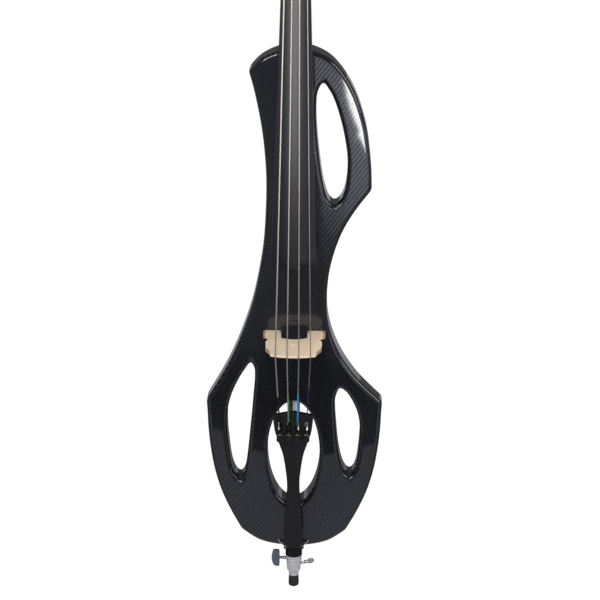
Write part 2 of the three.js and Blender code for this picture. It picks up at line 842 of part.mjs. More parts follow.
function headSide(scale) {
  return [
    new THREE.Vector3(0, 0, 0),
    new THREE.Vector3(0, 0, pegboxLength),
    new THREE.Vector3(0, pegboxTopDepth, pegboxLength + scale),
    new THREE.Vector3(0, pegboxNutDepth, pegboxNutDepth / 2),
    new THREE.Vector3(0, pegboxNutDepth - heelRise / 2, 0),
    new THREE.Vector3(0, neckNutDepth, -pegboxNutDepth / 2),
  ];
}

function pegDepth(place) {
  return THREE.MathUtils.lerp(pegboxNutDepth, pegboxTopDepth, place / pegboxLength) / 2;
}

function head() {
  const scrollZ = pegboxLength + scrollRadius - scrollInset;
  const scrollY = scrollRadius - scrollInset / 2;
  const steps = [0, 1, 2].map((step) => alongX(pin(
    scrollRadius - step * scrollStep,
    -headHalfWidth - step * scrollStep / 2, headHalfWidth + step * scrollStep / 2, 32,
  )).translate(0, scrollY, scrollZ));
  const slotHalfWidth = headHalfWidth - pegboxWall;
  const slot = sideProfile([
    new THREE.Vector3(0, -overrun, pegboxSlotStart),
    new THREE.Vector3(0, -overrun, pegboxLength - pegboxFloor),
    new THREE.Vector3(0, pegboxTopDepth - pegboxFloor, pegboxLength - pegboxFloor),
    new THREE.Vector3(0, pegboxNutDepth - pegboxFloor, pegboxSlotStart + pegboxFloor * 2),
  ], slotHalfWidth);
  const holes = pegPlaces.map((place) => alongX(
    pin(pegRadius + running, -overrun, overrun, 20),
  ).translate(0, pegDepth(place), place));
  const whole = join(sideProfile(headSide(scrollInset), headHalfWidth), ...steps);
  return cut(whole, slot, ...holes).applyMatrix4(headFrame);
}

function neck() {
  const stations = [0, 1, 2, 3, 4].map((step) => THREE.MathUtils.lerp(
    heelEnd - 2 * heelRise, stringLength, step / 4,
  ));
  stations.push(headStart);
  const handle = loft(stations.map(neckSection));
  const pocket = block(
    -heelHalfWidth - overrun, heelHalfWidth + overrun, -pocketFloor, overrun, 0, bodyTop + fit,
  ).applyMatrix4(worldToNeck);
  const boltHoles = boltPlaces.map((z) => alongY(
    pin(boltRadius + fit, boltTip - fit, overrun, 16),
  ).translate(0, 0, z).applyMatrix4(worldToNeck));
  return cut(join(handle, heel(), head()), pocket, ...boltHoles);
}
add('neck', neck(), carbon, neckFrame);

// Pegs: C and G turn on the left of the pegbox, D and A on the right
const pegSides = [-1, -1, 1, 1];
const headInNeck = (place) => new THREE.Vector3(0, pegDepth(place), place)
  .applyMatrix4(headFrame);

function peg(side) {
  const collarStart = headHalfWidth + pegCollarGap;
  const shaft = turned([
    [0, -headHalfWidth - pegTipReach], [pegTipRadius, -headHalfWidth - pegTipReach],
    [pegRadius, collarStart], [pegCollarRadius, collarStart],
    [pegCollarRadius, collarStart + pegCollarLength], [pegTipRadius, collarStart + pegCollarLength],
    [pegTipRadius, collarStart + 2 * pegCollarLength], [0, collarStart + 2 * pegCollarLength],
  ], 20);
  const thumb = new THREE.Shape(ring(20, (cosine, sine) => new THREE.Vector2(
    (pegHeadWidth / 2) * cosine,
    collarStart + pegCollarLength + (pegHeadLength / 2) * (1 + sine),
  )));
  const paddle = plate(thumb, -pegHeadThickness / 2, pegHeadThickness / 2, 1);
  const whole = join(shaft, paddle);
  return alongX(whole).scale(side, 1, 1);
}

stringNames.forEach((name, i) => {
  const at = headInNeck(pegPlaces[i]);
  const mesh = add(`peg_${name}`, outward(peg(pegSides[i])), matteBlack, neckFrame);
  mesh.position.copy(at);
});

// Tailpiece: a wasp-waisted plate with a slot and a bush for each fine tuner
function tailpiece() {
  const side = tailOutlineShares.map(([x, z]) => [x * tailHalfWidth, z * tailLength]);
  const right = spline(side, 22, false);
  const left = right.map((point) => new THREE.Vector2(-point.x, point.y)).reverse();
  const crest = new THREE.Vector2(0, tailLength);
  const shape = new THREE.Shape([...right, crest, ...left, new THREE.Vector2(0, 0)]);
  const flat = new THREE.ExtrudeGeometry(shape, {
    depth: tailThickness - 2 * tailEdge,
    bevelThickness: tailEdge,
    bevelSize: tailEdge,
    bevelOffset: -tailEdge,
    bevelSegments: 1,
  }).rotateX(Math.PI / 2).translate(0, tailThickness - tailEdge, 0);
  const slots = stringNames.map((_, i) => block(
    tunerX(i) - tunerSlotWidth / 2, tunerX(i) + tunerSlotWidth / 2,
    -overrun, overrun, tunerSlotLow, tunerSlotHigh,
  ));
  const bushHoles = stringNames.map((_, i) => alongY(
    pin(tunerBushRadius + fit, -overrun, overrun, 16),
  ).translate(tunerX(i), 0, tunerScrewAt));
  const gutHoles = [-gutX, gutX].map((x) => pin(gutRadius + fit, -overrun, gutHoleDepth, 10)
    .translate(x, tailThickness / 2, 0));
  return cut(flat, ...slots, ...bushHoles, ...gutHoles);
}

function tunerX(i) {
  return (i - (stringNames.length - 1) / 2) * tunerSpacing;
}
add('tailpiece', tailpiece(), matteBlack, tailFrame);

function tunerBush() {
  const bore = tunerShaftRadius + running;
  return alongY(turned([
    [bore, -tunerBushProud], [tunerBushRadius, -tunerBushProud],
    [tunerBushRadius, tailThickness], [bore, tailThickness], [bore, -tunerBushProud],
  ], 16));
}

function tunerScrew() {
  const knobBase = -tunerBushProud - running;
  return alongY(turned([
    [0, knobBase - tunerKnobHeight], [tunerKnobRadius, knobBase - tunerKnobHeight],
    [tunerKnobRadius, knobBase], [tunerShaftRadius, knobBase],
    [tunerShaftRadius, tailThickness + tunerBushProud], [0, tailThickness + tunerBushProud],
  ], 16));
}

function tunerLever() {
  const back = tailThickness + tunerBushProud + running;
  const low = leverPivotAt - leverReach;
  return sideProfile([
    new THREE.Vector3(0, -leverHook, leverPivotAt - leverThickness / 2),
    new THREE.Vector3(0, -leverHook, leverPivotAt + leverThickness / 2),
    new THREE.Vector3(0, back + leverThickness, leverPivotAt + leverThickness / 2),
    new THREE.Vector3(0, back + leverThickness, low),
    new THREE.Vector3(0, back, low),
    new THREE.Vector3(0, back, leverPivotAt - leverThickness / 2),
  ], leverWidth / 2);
}

stringNames.forEach((name, i) => {
  add(`tuner_bush_${name}`, tunerBush(), brass, tailFrame)
    .position.set(tunerX(i), 0, tunerScrewAt);
  add(`tuner_screw_${name}`, tunerScrew(), matteBlack, tailFrame)
    .position.set(tunerX(i), 0, tunerScrewAt);
  add(`tuner_lever_${name}`, tunerLever(), chrome, tailFrame).position.x = tunerX(i);
});

// Strings: from the peg over the nut and the bridge to the hook of the fine tuner
stringNames.forEach((name, i) => {
  const radius = stringRadii[i];
  const lift = radius + fit;
  const share = (i - (stringNames.length - 1) / 2) / (stringNames.length - 1);
  const bridgeX = share * bridgeSpread;
  const nutX = share * nutSpread;
  const peg = headInNeck(pegPlaces[i]);
  const inNeck = (x, y, z) => new THREE.Vector3(x, y, z).applyMatrix4(neckToWorld);
  const hook = new THREE.Vector3(
    tunerX(i), -leverHook + radius, leverPivotAt + leverThickness / 2 + fit,
  ).applyMatrix4(tailFrame.matrixWorld);
  const path = [
    inNeck(pegSides[i] * pegStringInset, peg.y - pegRadius - lift - fit, peg.z),
    inNeck(nutX, crownFall(nutX) - lift, headStart + lift / 2),
    inNeck(nutX, crownFall(nutX) - lift, stringLength),
    inNeck(bridgeX, crownFall(bridgeX) - lift, bridgeCrownThickness / 2),
    inNeck(bridgeX, crownFall(bridgeX) - lift, -bridgeCrownThickness / 2),
    hook,
  ];
  add(`string_${name}`, tube(path, radius, 8), steel);
});

// Saddle and tailgut at the bottom edge of the body
function saddle() {
  const back = -bodyFront + saddleDepth;
  const nose = -bodyFront - saddleRise;
  const bar = sideProfile([
    new THREE.Vector3(0, back, saddleFoot),
    new THREE.Vector3(0, back, saddleTop),
    new THREE.Vector3(0, nose + saddleRise / 2, saddleTop),
    new THREE.Vector3(0, nose, saddleTop - saddleRise / 2),
    new THREE.Vector3(0, nose, saddleFoot + saddleRise / 2),
    new THREE.Vector3(0, nose + saddleRise / 2, saddleFoot),
  ], saddleHalfWidth);
  return common(bar, plate(saddleShape(0, fit), nose - fit, back + fit, 1));
}
add('saddle', saddle(), matteBlack);

function tailgut() {
  const nose = -bodyFront - saddleRise - gutRadius - fit;
  const loopRadius = plugFlangeRadius + gutRadius + fit;
  const loopZ = bodyBottom - 2 * rimRadius + 3 * gutRadius;
  const inTail = (z) => new THREE.Vector3(gutX, tailThickness / 2, z)
    .applyMatrix4(tailFrame.matrixWorld);
  const strand = [
    inTail(gutHoleDepth - fit),
    inTail(-gutRadius),
    new THREE.Vector3(gutX + gutRadius, nose, saddleFoot + gutRadius * 2),
    new THREE.Vector3(gutX + 2 * gutRadius, nose + saddleRise / 2, saddleFoot - gutRadius - fit),
    new THREE.Vector3(loopRadius, -loopRadius, loopZ + gutRadius),
  ];
  const loop = Array.from({ length: 9 }, (_, k) => {
    const angle = (k / 8) * Math.PI;
    return new THREE.Vector3(
      loopRadius * Math.cos(angle), loopRadius * Math.sin(angle), loopZ,
    );
  });
  const mirrored = strand.map((point) => point.clone().setX(-point.x)).reverse();
  return tube([...strand, ...loop, ...mirrored], gutRadius, 8);
}
add('tailgut', tailgut(), steel);

// Endpin
add('endpin_plug', turned([
  [rodRadius + running, collarTop + fit], [plugFlangeRadius, collarTop + fit],
  [plugFlangeRadius, bodyBottom - fit], [plugRadius, bodyBottom - fit],
  [plugRadius, plugTop], [rodRadius + running, plugTop], [rodRadius + running, collarTop + fit],
], 28), matteBlack);

add('endpin_sleeve', turned([
  [rodRadius + running, plugTop + 2 * fit], [sleeveRadius, plugTop + 2 * fit],
  [sleeveRadius, sleeveTop], [rodRadius + running, sleeveTop],
  [rodRadius + running, plugTop + 2 * fit],
], 20), chrome);

function collar() {
  const bore = rodRadius + running;
  const bandLow = collarTop - collarBandHeight;
  const ringShape = turned([
    [bore, tipHeight + fit], [collarNoseRadius, tipHeight + fit],
    [collarNoseRadius, collarLowZ - collarBandHeight / 3], [collarLowRadius, collarLowZ],
    [collarWaistRadius, bandLow], [collarTopRadius, bandLow + collarBandHeight / 8],
    [collarTopRadius, collarTop], [bore, collarTop], [bore, tipHeight + fit],
  ], 28);
  const wingHole = alongX(pin(wingShaftRadius + running, -overrun, 0, 12))
    .translate(0, 0, wingAxisZ);
  const clampHole = alongX(pin(clampShaftRadius + running, 0, overrun, 12))
    .rotateY(-clampTilt).translate(0, 0, clampAxisZ);
  return cut(ringShape, wingHole, clampHole);
}
add('endpin_collar', collar(), aluminium);

function wingScrew() {
  const tipX = rodRadius + 2 * running;
  const shape = new THREE.Shape(wingShares.map(([out, up]) => new THREE.Vector2(
    -THREE.MathUtils.lerp(wingInner, wingOuter, out), wingHalfHeight * up,
  )));
  const paddle = plate(shape, -wingThickness / 2, wingThickness / 2, 1);
  const shaft = alongX(pin(wingShaftRadius, -wingInner - wingThickness / 2, -tipX, 12));
  return join(paddle, shaft);
}
add('wing_screw', wingScrew(), bluePlastic).position.z = wingAxisZ;

function clampScrew() {
  const tipX = rodRadius + 2 * running;
  const headMiddle = (clampNeck + clampReach) / 2;
  const shape = new THREE.Shape(ring(20, (cosine, sine) => new THREE.Vector2(
    headMiddle + ((clampReach - clampNeck) / 2) * cosine, clampHeadHalfHeight * sine,
  )));
  const paddle = plate(shape, -clampHeadThickness / 2, clampHeadThickness / 2, 1);
  const shaft = alongX(pin(clampShaftRadius, tipX, clampNeck + clampHeadThickness, 12));
  return join(paddle, shaft).rotateY(-clampTilt);
}
add('clamp_screw', clampScrew(), chrome).position.z = clampAxisZ;

const tipSocket = tipHeight - tipSocketDepth;
add('endpin_rod', pin(rodRadius, tipSocket + fit, rodTop, 16), matteBlack);
add('rubber_tip', turned([
  [0, 0], [tipFlatRadius, 0], [tipShoulderRadius, tipFlatRadius / 3], [tipRadius, tipFlatRadius],
  [tipTopRadius, tipHeight], [rodRadius + fit, tipHeight], [rodRadius + fit, tipSocket],
  [0, tipSocket],
], 24), rubber);

// Rear control bay: plate, battery door, battery, circuit board, controls and jack
function controlPlate() {
  const flat = block(
    -bayHalfWidth, bayHalfWidth, bodyBack - plateThickness, bodyBack, plateBottom, bayTop,
  );
  const holes = [
    ...coverScrews.map(([x, z]) => [x, z, screwPilot]),
    ...[-potX, potX].map((x) => [x, potZ, potShaftRadius + running]),
    [0, jackZ, jackNoseRadius + fit],
  ].map(([x, z, radius]) => alongY(pin(radius, 0, bodyBack + overrun, 16)).translate(x, 0, z));
  return cut(flat, ...holes);
}
add('control_plate', controlPlate(), matteBlack);

add('battery_door', block(
  -bayHalfWidth, bayHalfWidth, bodyBack - plateThickness, bodyBack, bayBottom, doorTop,
), matteBlack);

const batteryLow = bayBottom + bayLedge;
const batteryBack = bodyBack - plateThickness - 2 * fit;
add('battery', block(
  -batteryWidth / 2, batteryWidth / 2, batteryBack - batteryDepth, batteryBack,
  batteryLow, batteryLow + batteryHeight,
), batteryGrey);

// The controls and the jack reach from the plate down to the circuit board that carries them
const plateInside = bodyBack - plateThickness - fit;
const controlFloor = plateInside - controlDepth;
add('preamp_board', block(
  -preampHalfWidth, preampHalfWidth, controlFloor - fit - boardThickness, controlFloor - fit,
  preampBottom, preampTop,
), circuitGreen);

[['volume', -1], ['tone', 1]].forEach(([name, side]) => {
  const knobBase = bodyBack + running;
  const shaftEnd = knobBase + knobHeight / 3;
  const pot = join(
    alongY(pin(potRadius, controlFloor, plateInside, 20)),
    alongY(pin(potShaftRadius, controlFloor + controlDepth / 2, shaftEnd, 12)),
  );
  add(`${name}_pot`, pot, steel).position.set(side * potX, 0, potZ);
  const bore = potShaftRadius + running;
  const knob = alongY(turned([
    [bore, knobBase], [knobRadius, knobBase], [knobTopRadius, knobBase + knobHeight],
    [0, knobBase + knobHeight], [0, shaftEnd + running], [bore, shaftEnd + running],
    [bore, knobBase],
  ], 24));
  add(`${name}_knob`, knob, matteBlack).position.set(side * potX, 0, potZ);
});

function jack() {
  const mouth = bodyBack + fit + jackNutThickness;
  const outer = join(
    alongY(pin(jackRadius, controlFloor, plateInside, 20)),
    alongY(pin(jackNoseRadius, controlFloor, mouth, 20)),
  );
  return cut(outer, alongY(pin(jackBoreRadius, controlFloor + plateThickness, overrun, 16)));
}
add('output_jack', jack(), chrome).position.z = jackZ;

const nutInner = jackNoseRadius + fit;
add('jack_nut', alongY(turned([
  [nutInner, bodyBack + fit], [jackNutRadius, bodyBack + fit],
  [jackNutRadius, bodyBack + fit + jackNutThickness], [nutInner, bodyBack + fit + jackNutThickness],
  [nutInner, bodyBack + fit],
], 12)), chrome).position.z = jackZ;

coverScrews.forEach(([x, z], i) => {
  const screw = alongY(turned([
    [0, bodyBack + fit - coverScrewLength], [coverScrewShank, bodyBack + fit - coverScrewLength],
    [coverScrewShank, bodyBack + fit], [coverScrewRadius, bodyBack + fit],
    [coverScrewCrownRadius, bodyBack + fit + coverScrewShank],
    [0, bodyBack + fit + coverScrewShank],
  ], 14));
  add(`cover_screw_${i + 1}`, screw, steel).position.set(x, 0, z);
});

boltPlaces.forEach((z, i) => {
  const seat = bodyBack - boltSink + fit;
  const whole = join(
    alongY(pin(boltRadius, boltTip, seat + boltHeadHeight / 2, 16)),
    alongY(pin(boltHeadRadius, seat, seat + boltHeadHeight, 20)),
  );
  const socket = alongY(pin(
    boltSocketRadius, seat + boltHeadHeight - boltSocketDepth, bodyBack + overrun, 6,
  ));
  add(`neck_bolt_${i + 1}`, cut(whole, socket), steel).position.z = z;
});

export default assembly;
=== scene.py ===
# %% [markdown]
# # An electric cello, dressed for the camera
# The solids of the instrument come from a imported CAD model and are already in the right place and
# the right size. This lesson replaces the faceted shapes with finely curved ones, gives every
# surface a procedural finish, and adds what a photograph shows and a solid doesn't: the woven
# carbon, the silk on the strings, the windings on the pegs and the knurls on the screws.

import json
import math

import bmesh
import bpy
import numpy as np
from mathutils import Matrix, Vector, kdtree
from mathutils.geometry import delaunay_2d_cdt

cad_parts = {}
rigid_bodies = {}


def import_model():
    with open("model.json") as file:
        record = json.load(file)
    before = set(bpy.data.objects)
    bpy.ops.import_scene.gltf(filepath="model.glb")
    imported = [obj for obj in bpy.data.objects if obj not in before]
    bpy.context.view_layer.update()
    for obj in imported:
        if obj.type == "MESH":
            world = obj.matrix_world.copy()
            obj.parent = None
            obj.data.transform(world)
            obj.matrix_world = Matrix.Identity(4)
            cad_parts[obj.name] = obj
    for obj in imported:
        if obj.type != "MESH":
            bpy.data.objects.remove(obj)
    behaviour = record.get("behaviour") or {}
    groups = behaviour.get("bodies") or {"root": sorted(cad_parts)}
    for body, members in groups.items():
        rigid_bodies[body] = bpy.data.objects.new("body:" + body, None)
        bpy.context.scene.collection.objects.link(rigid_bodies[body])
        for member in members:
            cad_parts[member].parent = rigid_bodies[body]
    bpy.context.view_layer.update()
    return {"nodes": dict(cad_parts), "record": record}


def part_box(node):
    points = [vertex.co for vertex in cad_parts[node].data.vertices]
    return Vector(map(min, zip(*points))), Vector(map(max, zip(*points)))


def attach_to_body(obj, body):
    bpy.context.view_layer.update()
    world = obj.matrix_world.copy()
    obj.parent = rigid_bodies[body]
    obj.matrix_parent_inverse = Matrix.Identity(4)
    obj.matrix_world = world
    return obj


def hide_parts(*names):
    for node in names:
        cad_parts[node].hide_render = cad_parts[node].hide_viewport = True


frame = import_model()
MM = 0.001
ROOT = "instrument"

# %% [markdown]
# ## Camera
# The picture was taken from far away and from above, which keeps the sides of the body nearly
# parallel. The camera stands 3.5 m off, 18.5 degrees above the horizon and a little to the right,
# and is rolled by a third of a degree, because the instrument leans that much in the picture.

# %% Camera
IMAGE_SIDE = 600
FOCAL_PIXELS = 2464
CAMERA_DISTANCE = 3.5
CAMERA_ELEVATION = math.radians(18.5)
CAMERA_AZIMUTH = math.radians(1.15)
CAMERA_ROLL = math.radians(0.30)
CAMERA_TARGET = Vector((0.0077, -0.0230, 0.4547))


def add_object(name, data):
    """A new object in the scene. The camera, the lamps and every piece come in through here."""
    made = bpy.data.objects.new(name, data)
    bpy.context.scene.collection.objects.link(made)
    return made


def make_camera():
    away = Vector((
        math.sin(CAMERA_AZIMUTH) * math.cos(CAMERA_ELEVATION),
        -math.cos(CAMERA_AZIMUTH) * math.cos(CAMERA_ELEVATION),
        math.sin(CAMERA_ELEVATION),
    ))
    right = Vector((0, 0, 1)).cross(away).normalized()
    up = away.cross(right)
    rolled_right = right * math.cos(CAMERA_ROLL) + up * math.sin(CAMERA_ROLL)
    rolled_up = up * math.cos(CAMERA_ROLL) - right * math.sin(CAMERA_ROLL)
    data = bpy.data.cameras.new("camera")
    data.sensor_width = 36.0
    data.lens = FOCAL_PIXELS * data.sensor_width / IMAGE_SIDE
    data.clip_end = 100.0
    camera = add_object("camera", data)
    place = Matrix((rolled_right, rolled_up, away)).transposed().to_4x4()
    place.translation = CAMERA_TARGET + away * CAMERA_DISTANCE
    camera.matrix_world = place
    bpy.context.scene.camera = camera
    return camera


camera = make_camera()
print("camera at", [round(v, 3) for v in camera.location], "lens", round(camera.data.lens, 1))

# %% [markdown]
# ## Writing shader maths as plain expressions
# A procedural finish is a small formula. Wrapping a node's output socket in a class with the
# usual operators lets the formula be written as Python, and every operator adds one Math node.
# Nodes could be placed by hand too, but a formula is easier to read and to change.


# %% Sockets with arithmetic
class Amount:
    """A number that varies over a surface: the output socket of a node."""

    def __init__(self, finish, socket):
        self.finish = finish
        self.socket = socket

    def math(self, operation, *others):
        values = dict(enumerate((self, *others)))
        node = self.finish.node("ShaderNodeMath", {"operation": operation}, values)
        return Amount(self.finish, node.outputs[0])

    def __add__(self, other):
        return self.math("ADD", other)

    def __mul__(self, other):
        return self.math("MULTIPLY", other)

    def __sub__(self, other):
        return self.math("SUBTRACT", other)

    def __truediv__(self, other):
        return self.math("DIVIDE", other)

    def __lt__(self, other):
        return self.math("LESS_THAN", other)

    def __gt__(self, other):
        return self.math("GREATER_THAN", other)

    def __rsub__(self, other):
        return self * -1.0 + other

    __radd__, __rmul__ = __add__, __mul__

    def fraction(self):
        return self - self.math("FLOOR")

    def size(self):
        return self.math("ABSOLUTE")

    def sine(self):
        return self.math("SINE")


def socket_name(key):
    """coat_ior becomes Coat IOR."""
    return key.replace("_", " ").title().replace("Ior", "IOR")


print("numbers that vary over a surface can be added, multiplied and compared")

# %% [markdown]
# `node` makes one node and fills its sockets: a plain value is set, another node's output is
# linked. A finish is such a tree with a Principled shader at its end. Its methods name the few
# things that a finish is made of: noise, streaks, ramps, mixes and bumps.


# %% Node trees
class Nodes:
    """A node tree that is filled one node at a time: settings first, then values and links."""

    def __init__(self, tree):
        self.tree = tree
        tree.nodes.clear()

    def node(self, kind, settings=None, values=None):
        made = self.tree.nodes.new(kind)
        for key, value in (settings or {}).items():
            setattr(made, key, value)
        for key, value in (values or {}).items():
            self.feed(made.inputs[key], value)
        return made

    def feed(self, socket, value):
        """A number or a colour is set; an amount or another node's output is linked."""
        value = value.socket if isinstance(value, Amount) else value
        if isinstance(value, bpy.types.NodeSocket):
            self.tree.links.new(value, socket)
        else:
            socket.default_value = value


# %% A finish
class Finish(Nodes):
    """One material: a Principled shader and the few formulas that feed it."""

    def __init__(self, name, color, roughness, metallic=0.0, **fixed):
        self.material = bpy.data.materials.new(name)
        self.material.use_nodes = True
        super().__init__(self.material.node_tree)
        self.shader = self.node("ShaderNodeBsdfPrincipled", {}, {
            "Base Color": (*color, 1.0), "Roughness": roughness, "Metallic": metallic,
            **{socket_name(key): value for key, value in fixed.items()},
        })
        self.output = self.node("ShaderNodeOutputMaterial", {}, {
            "Surface": self.shader.outputs[0]})

    def give(self, **values):
        """Feeds the shader's sockets, named as keywords, and hands over the material."""
        for key, value in values.items():
            self.feed(self.shader.inputs[socket_name(key)], value)
        return self.material

    def place(self):
        """X, Y and Z in the piece's own frame, so that the finish moves with the piece."""
        coordinates = self.node("ShaderNodeTexCoord").outputs["Object"]
        split = self.node("ShaderNodeSeparateXYZ", {}, {0: coordinates})
        return [Amount(self, output) for output in split.outputs]

    def noise(self, scale, detail=2.0, where=None):
        if where is None:
            where = self.node("ShaderNodeTexCoord").outputs["Object"]
        values = {"Scale": scale, "Detail": detail, "Vector": where}
        return Amount(self, self.node("ShaderNodeTexNoise", {}, values).outputs[0])

    def streaks(self, *factors, detail=3.0):
        """Noise with each direction scaled on its own, which draws it out into streaks."""
        values = {i: part * factor for i, (part, factor) in enumerate(zip(self.place(), factors))}
        return self.noise(1.0, detail, self.node("ShaderNodeCombineXYZ", {}, values).outputs[0])

    def between(self, share, low, high):
        """The colour a share of the way from low to high; each is a colour or a socket."""
        low, high = ((*c, 1.0) if isinstance(c, tuple) else c for c in (low, high))
        values = {0: share, 6: low, 7: high}
        return self.node("ShaderNodeMix", {"data_type": "RGBA"}, values).outputs[2]

    def ramp(self, value, start, end, top=1.0):
        """0 before start, top past end and steady in between."""
        ramp = self.node("ShaderNodeMapRange", {}, {
            "Value": value, "From Min": start, "From Max": end, "To Min": 0.0, "To Max": top})
        return Amount(self, ramp.outputs[0])

    def level(self, share, low, high):
        return share * (high - low) + low

    def bump(self, height, depth, strength=1.0):
        return self.node("ShaderNodeBump", {}, {
            "Strength": strength, "Distance": depth, "Height": height}).outputs[0]

    def surface(self, share, low, high, grain, rough, depth, strength=0.3, **more):
        """The colour follows share; the roughness and a shallow bump follow the grain."""
        return self.give(
            base_color=self.between(share, low, high), roughness=self.level(grain, *rough),
            normal=self.bump(grain, depth, strength), **more)

    def mixed(self, share, one, two):
        return self.node("ShaderNodeMixShader", {}, {0: share, 1: one, 2: two}).outputs[0]


print("shader helpers ready")

# %% [markdown]
# ## Finishes
# Carbon twill is two families of flat tows that pass over two and under two. Numbering the tows
# across and along, the ribs that catch the light lie where (across - along) is near a multiple of
# four, and a fainter rib runs half way between two of them. The cloth is turned by five degrees.
# Half of Y is added to one number and taken from the other, which wraps the cloth round the edges.
# A picture of cloth could be wrapped on instead, but a formula stays sharp at any distance.


# %% Carbon twill under lacquer
TWILL_TOW, CLOTH_TURN = 1.86 * MM, math.radians(5)
WRAP = 0.5


def carbon_twill(name, dark, light):
    finish = Finish(name, dark, 0.4, specular_ior_level=0.04, coat_weight=1.0,
                    coat_roughness=0.03, coat_ior=1.5)
    x, y, z = finish.place()
    turn, keep = math.sin(CLOTH_TURN), math.cos(CLOTH_TURN)
    across = (x * keep + z * turn + y * WRAP) / TWILL_TOW
    along = (z * keep - x * turn - y * WRAP) / TWILL_TOW
    step = ((across - along) * 0.25).fraction()
    line = (step < 0.2) + (step > 0.5) * (step < 0.7) * 0.3
    crown_across = 1.0 - (across.fraction() - 0.5).size() * 2.0
    crown_along = 1.0 - (along.fraction() - 0.5).size() * 2.0
    crown = crown_across * line + crown_along * (1.0 - line)
    patch = finish.noise(9.0, 3.0)
    fibre = finish.noise(2600.0, 1.0)
    shine = line * (patch * 0.9 + 0.5) + crown * 0.1 * fibre
    return finish.give(
        base_color=finish.between(shine, dark, light),
        roughness=finish.level(line, 0.44, 0.2),
        metallic=line * 0.85,
        normal=finish.bump(crown, 0.00003, 0.35),
    )


FINISHES = {"body": carbon_twill("carbon_twill", (0.0018, 0.0018, 0.0026), (0.08, 0.083, 0.103))}
print("twill with tows", round(TWILL_TOW / MM, 2), "mm wide")

# %% [markdown]
# ## Plain finishes with a little life in them
# Moulded plastic, rubber, metal and maple each get their own small variation: a grain or a
# scratch direction in colour, in roughness and in a shallow bump.


# %% Helpers for the plain finishes
def speckled(name, color, roughness, scale, spread, depth=0.00002, metallic=0.0, **fixed):
    """Plastic, rubber or lacquer whose colour varies a little from spot to spot."""
    finish = Finish(name, color, roughness, metallic, **fixed)
    grain = finish.noise(scale, 3.0)
    cloud = finish.noise(scale / 40.0, 2.0)
    low = tuple(c * (1.0 - spread) for c in color)
    high = tuple(min(1.0, c * (1.0 + spread)) for c in color)
    return finish.give(
        base_color=finish.between(grain * 0.5 + cloud * 0.5, low, high),
        roughness=finish.level(cloud, roughness * 0.8, min(1.0, roughness * 1.2)),
        normal=finish.bump(grain, depth, 0.4),
    )


def brushed(name, color, roughness, stretch, metallic=1.0):
    """Metal with fine scratches along one direction."""
    finish = Finish(name, color, roughness, metallic)
    streak = finish.streaks(*stretch)
    return finish.surface(streak, tuple(c * 0.82 for c in color), color, streak,
                          (roughness * 0.7, roughness * 1.4), 0.00001)


print("helpers for speckled and brushed finishes ready")


# %% [markdown]
# A few pieces have marks of their own: thread on the silk and polish that fades along the board.
# Others carry painted light: painted shade on the edges of the bridge, a painted highlight on one
# side of each lever and on the saddle's slanted edges, painted reflections on the endpin tube, and
# painted light that brightens the strings above the board. Each mark is a comparison of the piece's
# own coordinates, in millimetres or metres, so it stays where it is when the piece moves.


# %% Finishes of single pieces
def maple(name):
    """Bare maple with painted shade in dark brown along the edges of the feet and on the shoulders
    below the crown.
    """
    pale, brown, tan = (0.8, 0.68, 0.54), (0.56, 0.4, 0.25), (0.2, 0.1, 0.045)
    finish = Finish(name, pale, 0.5)
    x, y, _ = finish.place()
    reach, height = x.size() * 1000.0, y * -1000.0 - 23.3
    foot = (height < 9.5) * ((reach > 40.6) + (reach > 18.4) * (reach < 21.0))
    corner = ((reach - 39.2) * 0.888 + (height - 64.0) * 0.459) > -1.3
    # Painted shade: the edges of the feet and the corner facets below the crown are darkened to
    # brown.
    painted_shade = foot + corner * (height > 62.0) * (height < 77.0)
    rays = finish.streaks(420.0, 60.0, 420.0, detail=4.0)
    rings = finish.streaks(40.0, 9.0, 300.0, detail=2.0)
    wood = finish.between(rays * 0.6 + rings * 0.35, pale, brown)
    return finish.surface(painted_shade * 0.75, wood, tan, rays, (0.42, 0.62), 0.00004, 0.35)


def silk(name, color):
    """Fine thread wound round the string, so its ribs follow the string's length."""
    finish = Finish(name, color, 0.75, specular_ior_level=0.2)
    _, _, z = finish.place()
    thread = (z * 9000.0 + finish.noise(300.0, 1.0) * 2.0).sine()
    low = tuple(c * 0.6 for c in color)
    return finish.give(
        base_color=finish.between(thread * 0.5 + 0.5, low, color),
        roughness=finish.level(thread * 0.5 + 0.5, 0.8, 0.65),
        normal=finish.bump(thread, 0.00008, 0.5),
    )


def oiled_board(name):
    """Dark wood, better polished towards the nut."""
    finish = Finish(name, (0.01, 0.01, 0.013), 0.6, specular_ior_level=0.02,
                    coat_roughness=0.3, coat_ior=1.6, coat_tint=(0.9, 0.9, 1.0, 1.0))
    _, _, z = finish.place()
    grain = finish.streaks(900.0, 900.0, 60.0)
    return finish.surface(grain, (0.007, 0.007, 0.01), (0.012, 0.012, 0.017), grain,
                          (0.45, 0.6), 0.00002,
                          coat_weight=finish.level(finish.ramp(z, 0.44, 0.68), 0.3, 1.0))


def string_steel(name):
    """Flat wound steel with painted light that makes it brighter above the board; it is also darker
    towards the treble side.
    """
    finish = Finish(name, (0.6, 0.56, 0.48), 0.36, 0.75)
    x, _, z = finish.place()
    wound = (z * 6000.0 + finish.noise(300.0, 1.0) * 2.0).sine() * 0.5 + 0.5
    # Painted light: the string is brighter where it runs above the board.
    bright = finish.level(finish.ramp(z, 0.44, 0.68), 0.4, 1.0)
    treble = finish.level(finish.ramp(x, 0.0, 0.022), 1.0, 0.6)
    return finish.surface(bright * treble * (wound * 0.15 + 0.85), (0.02, 0.018, 0.015),
                          (0.92, 0.86, 0.74), wound, (0.3, 0.42), 0.00001)


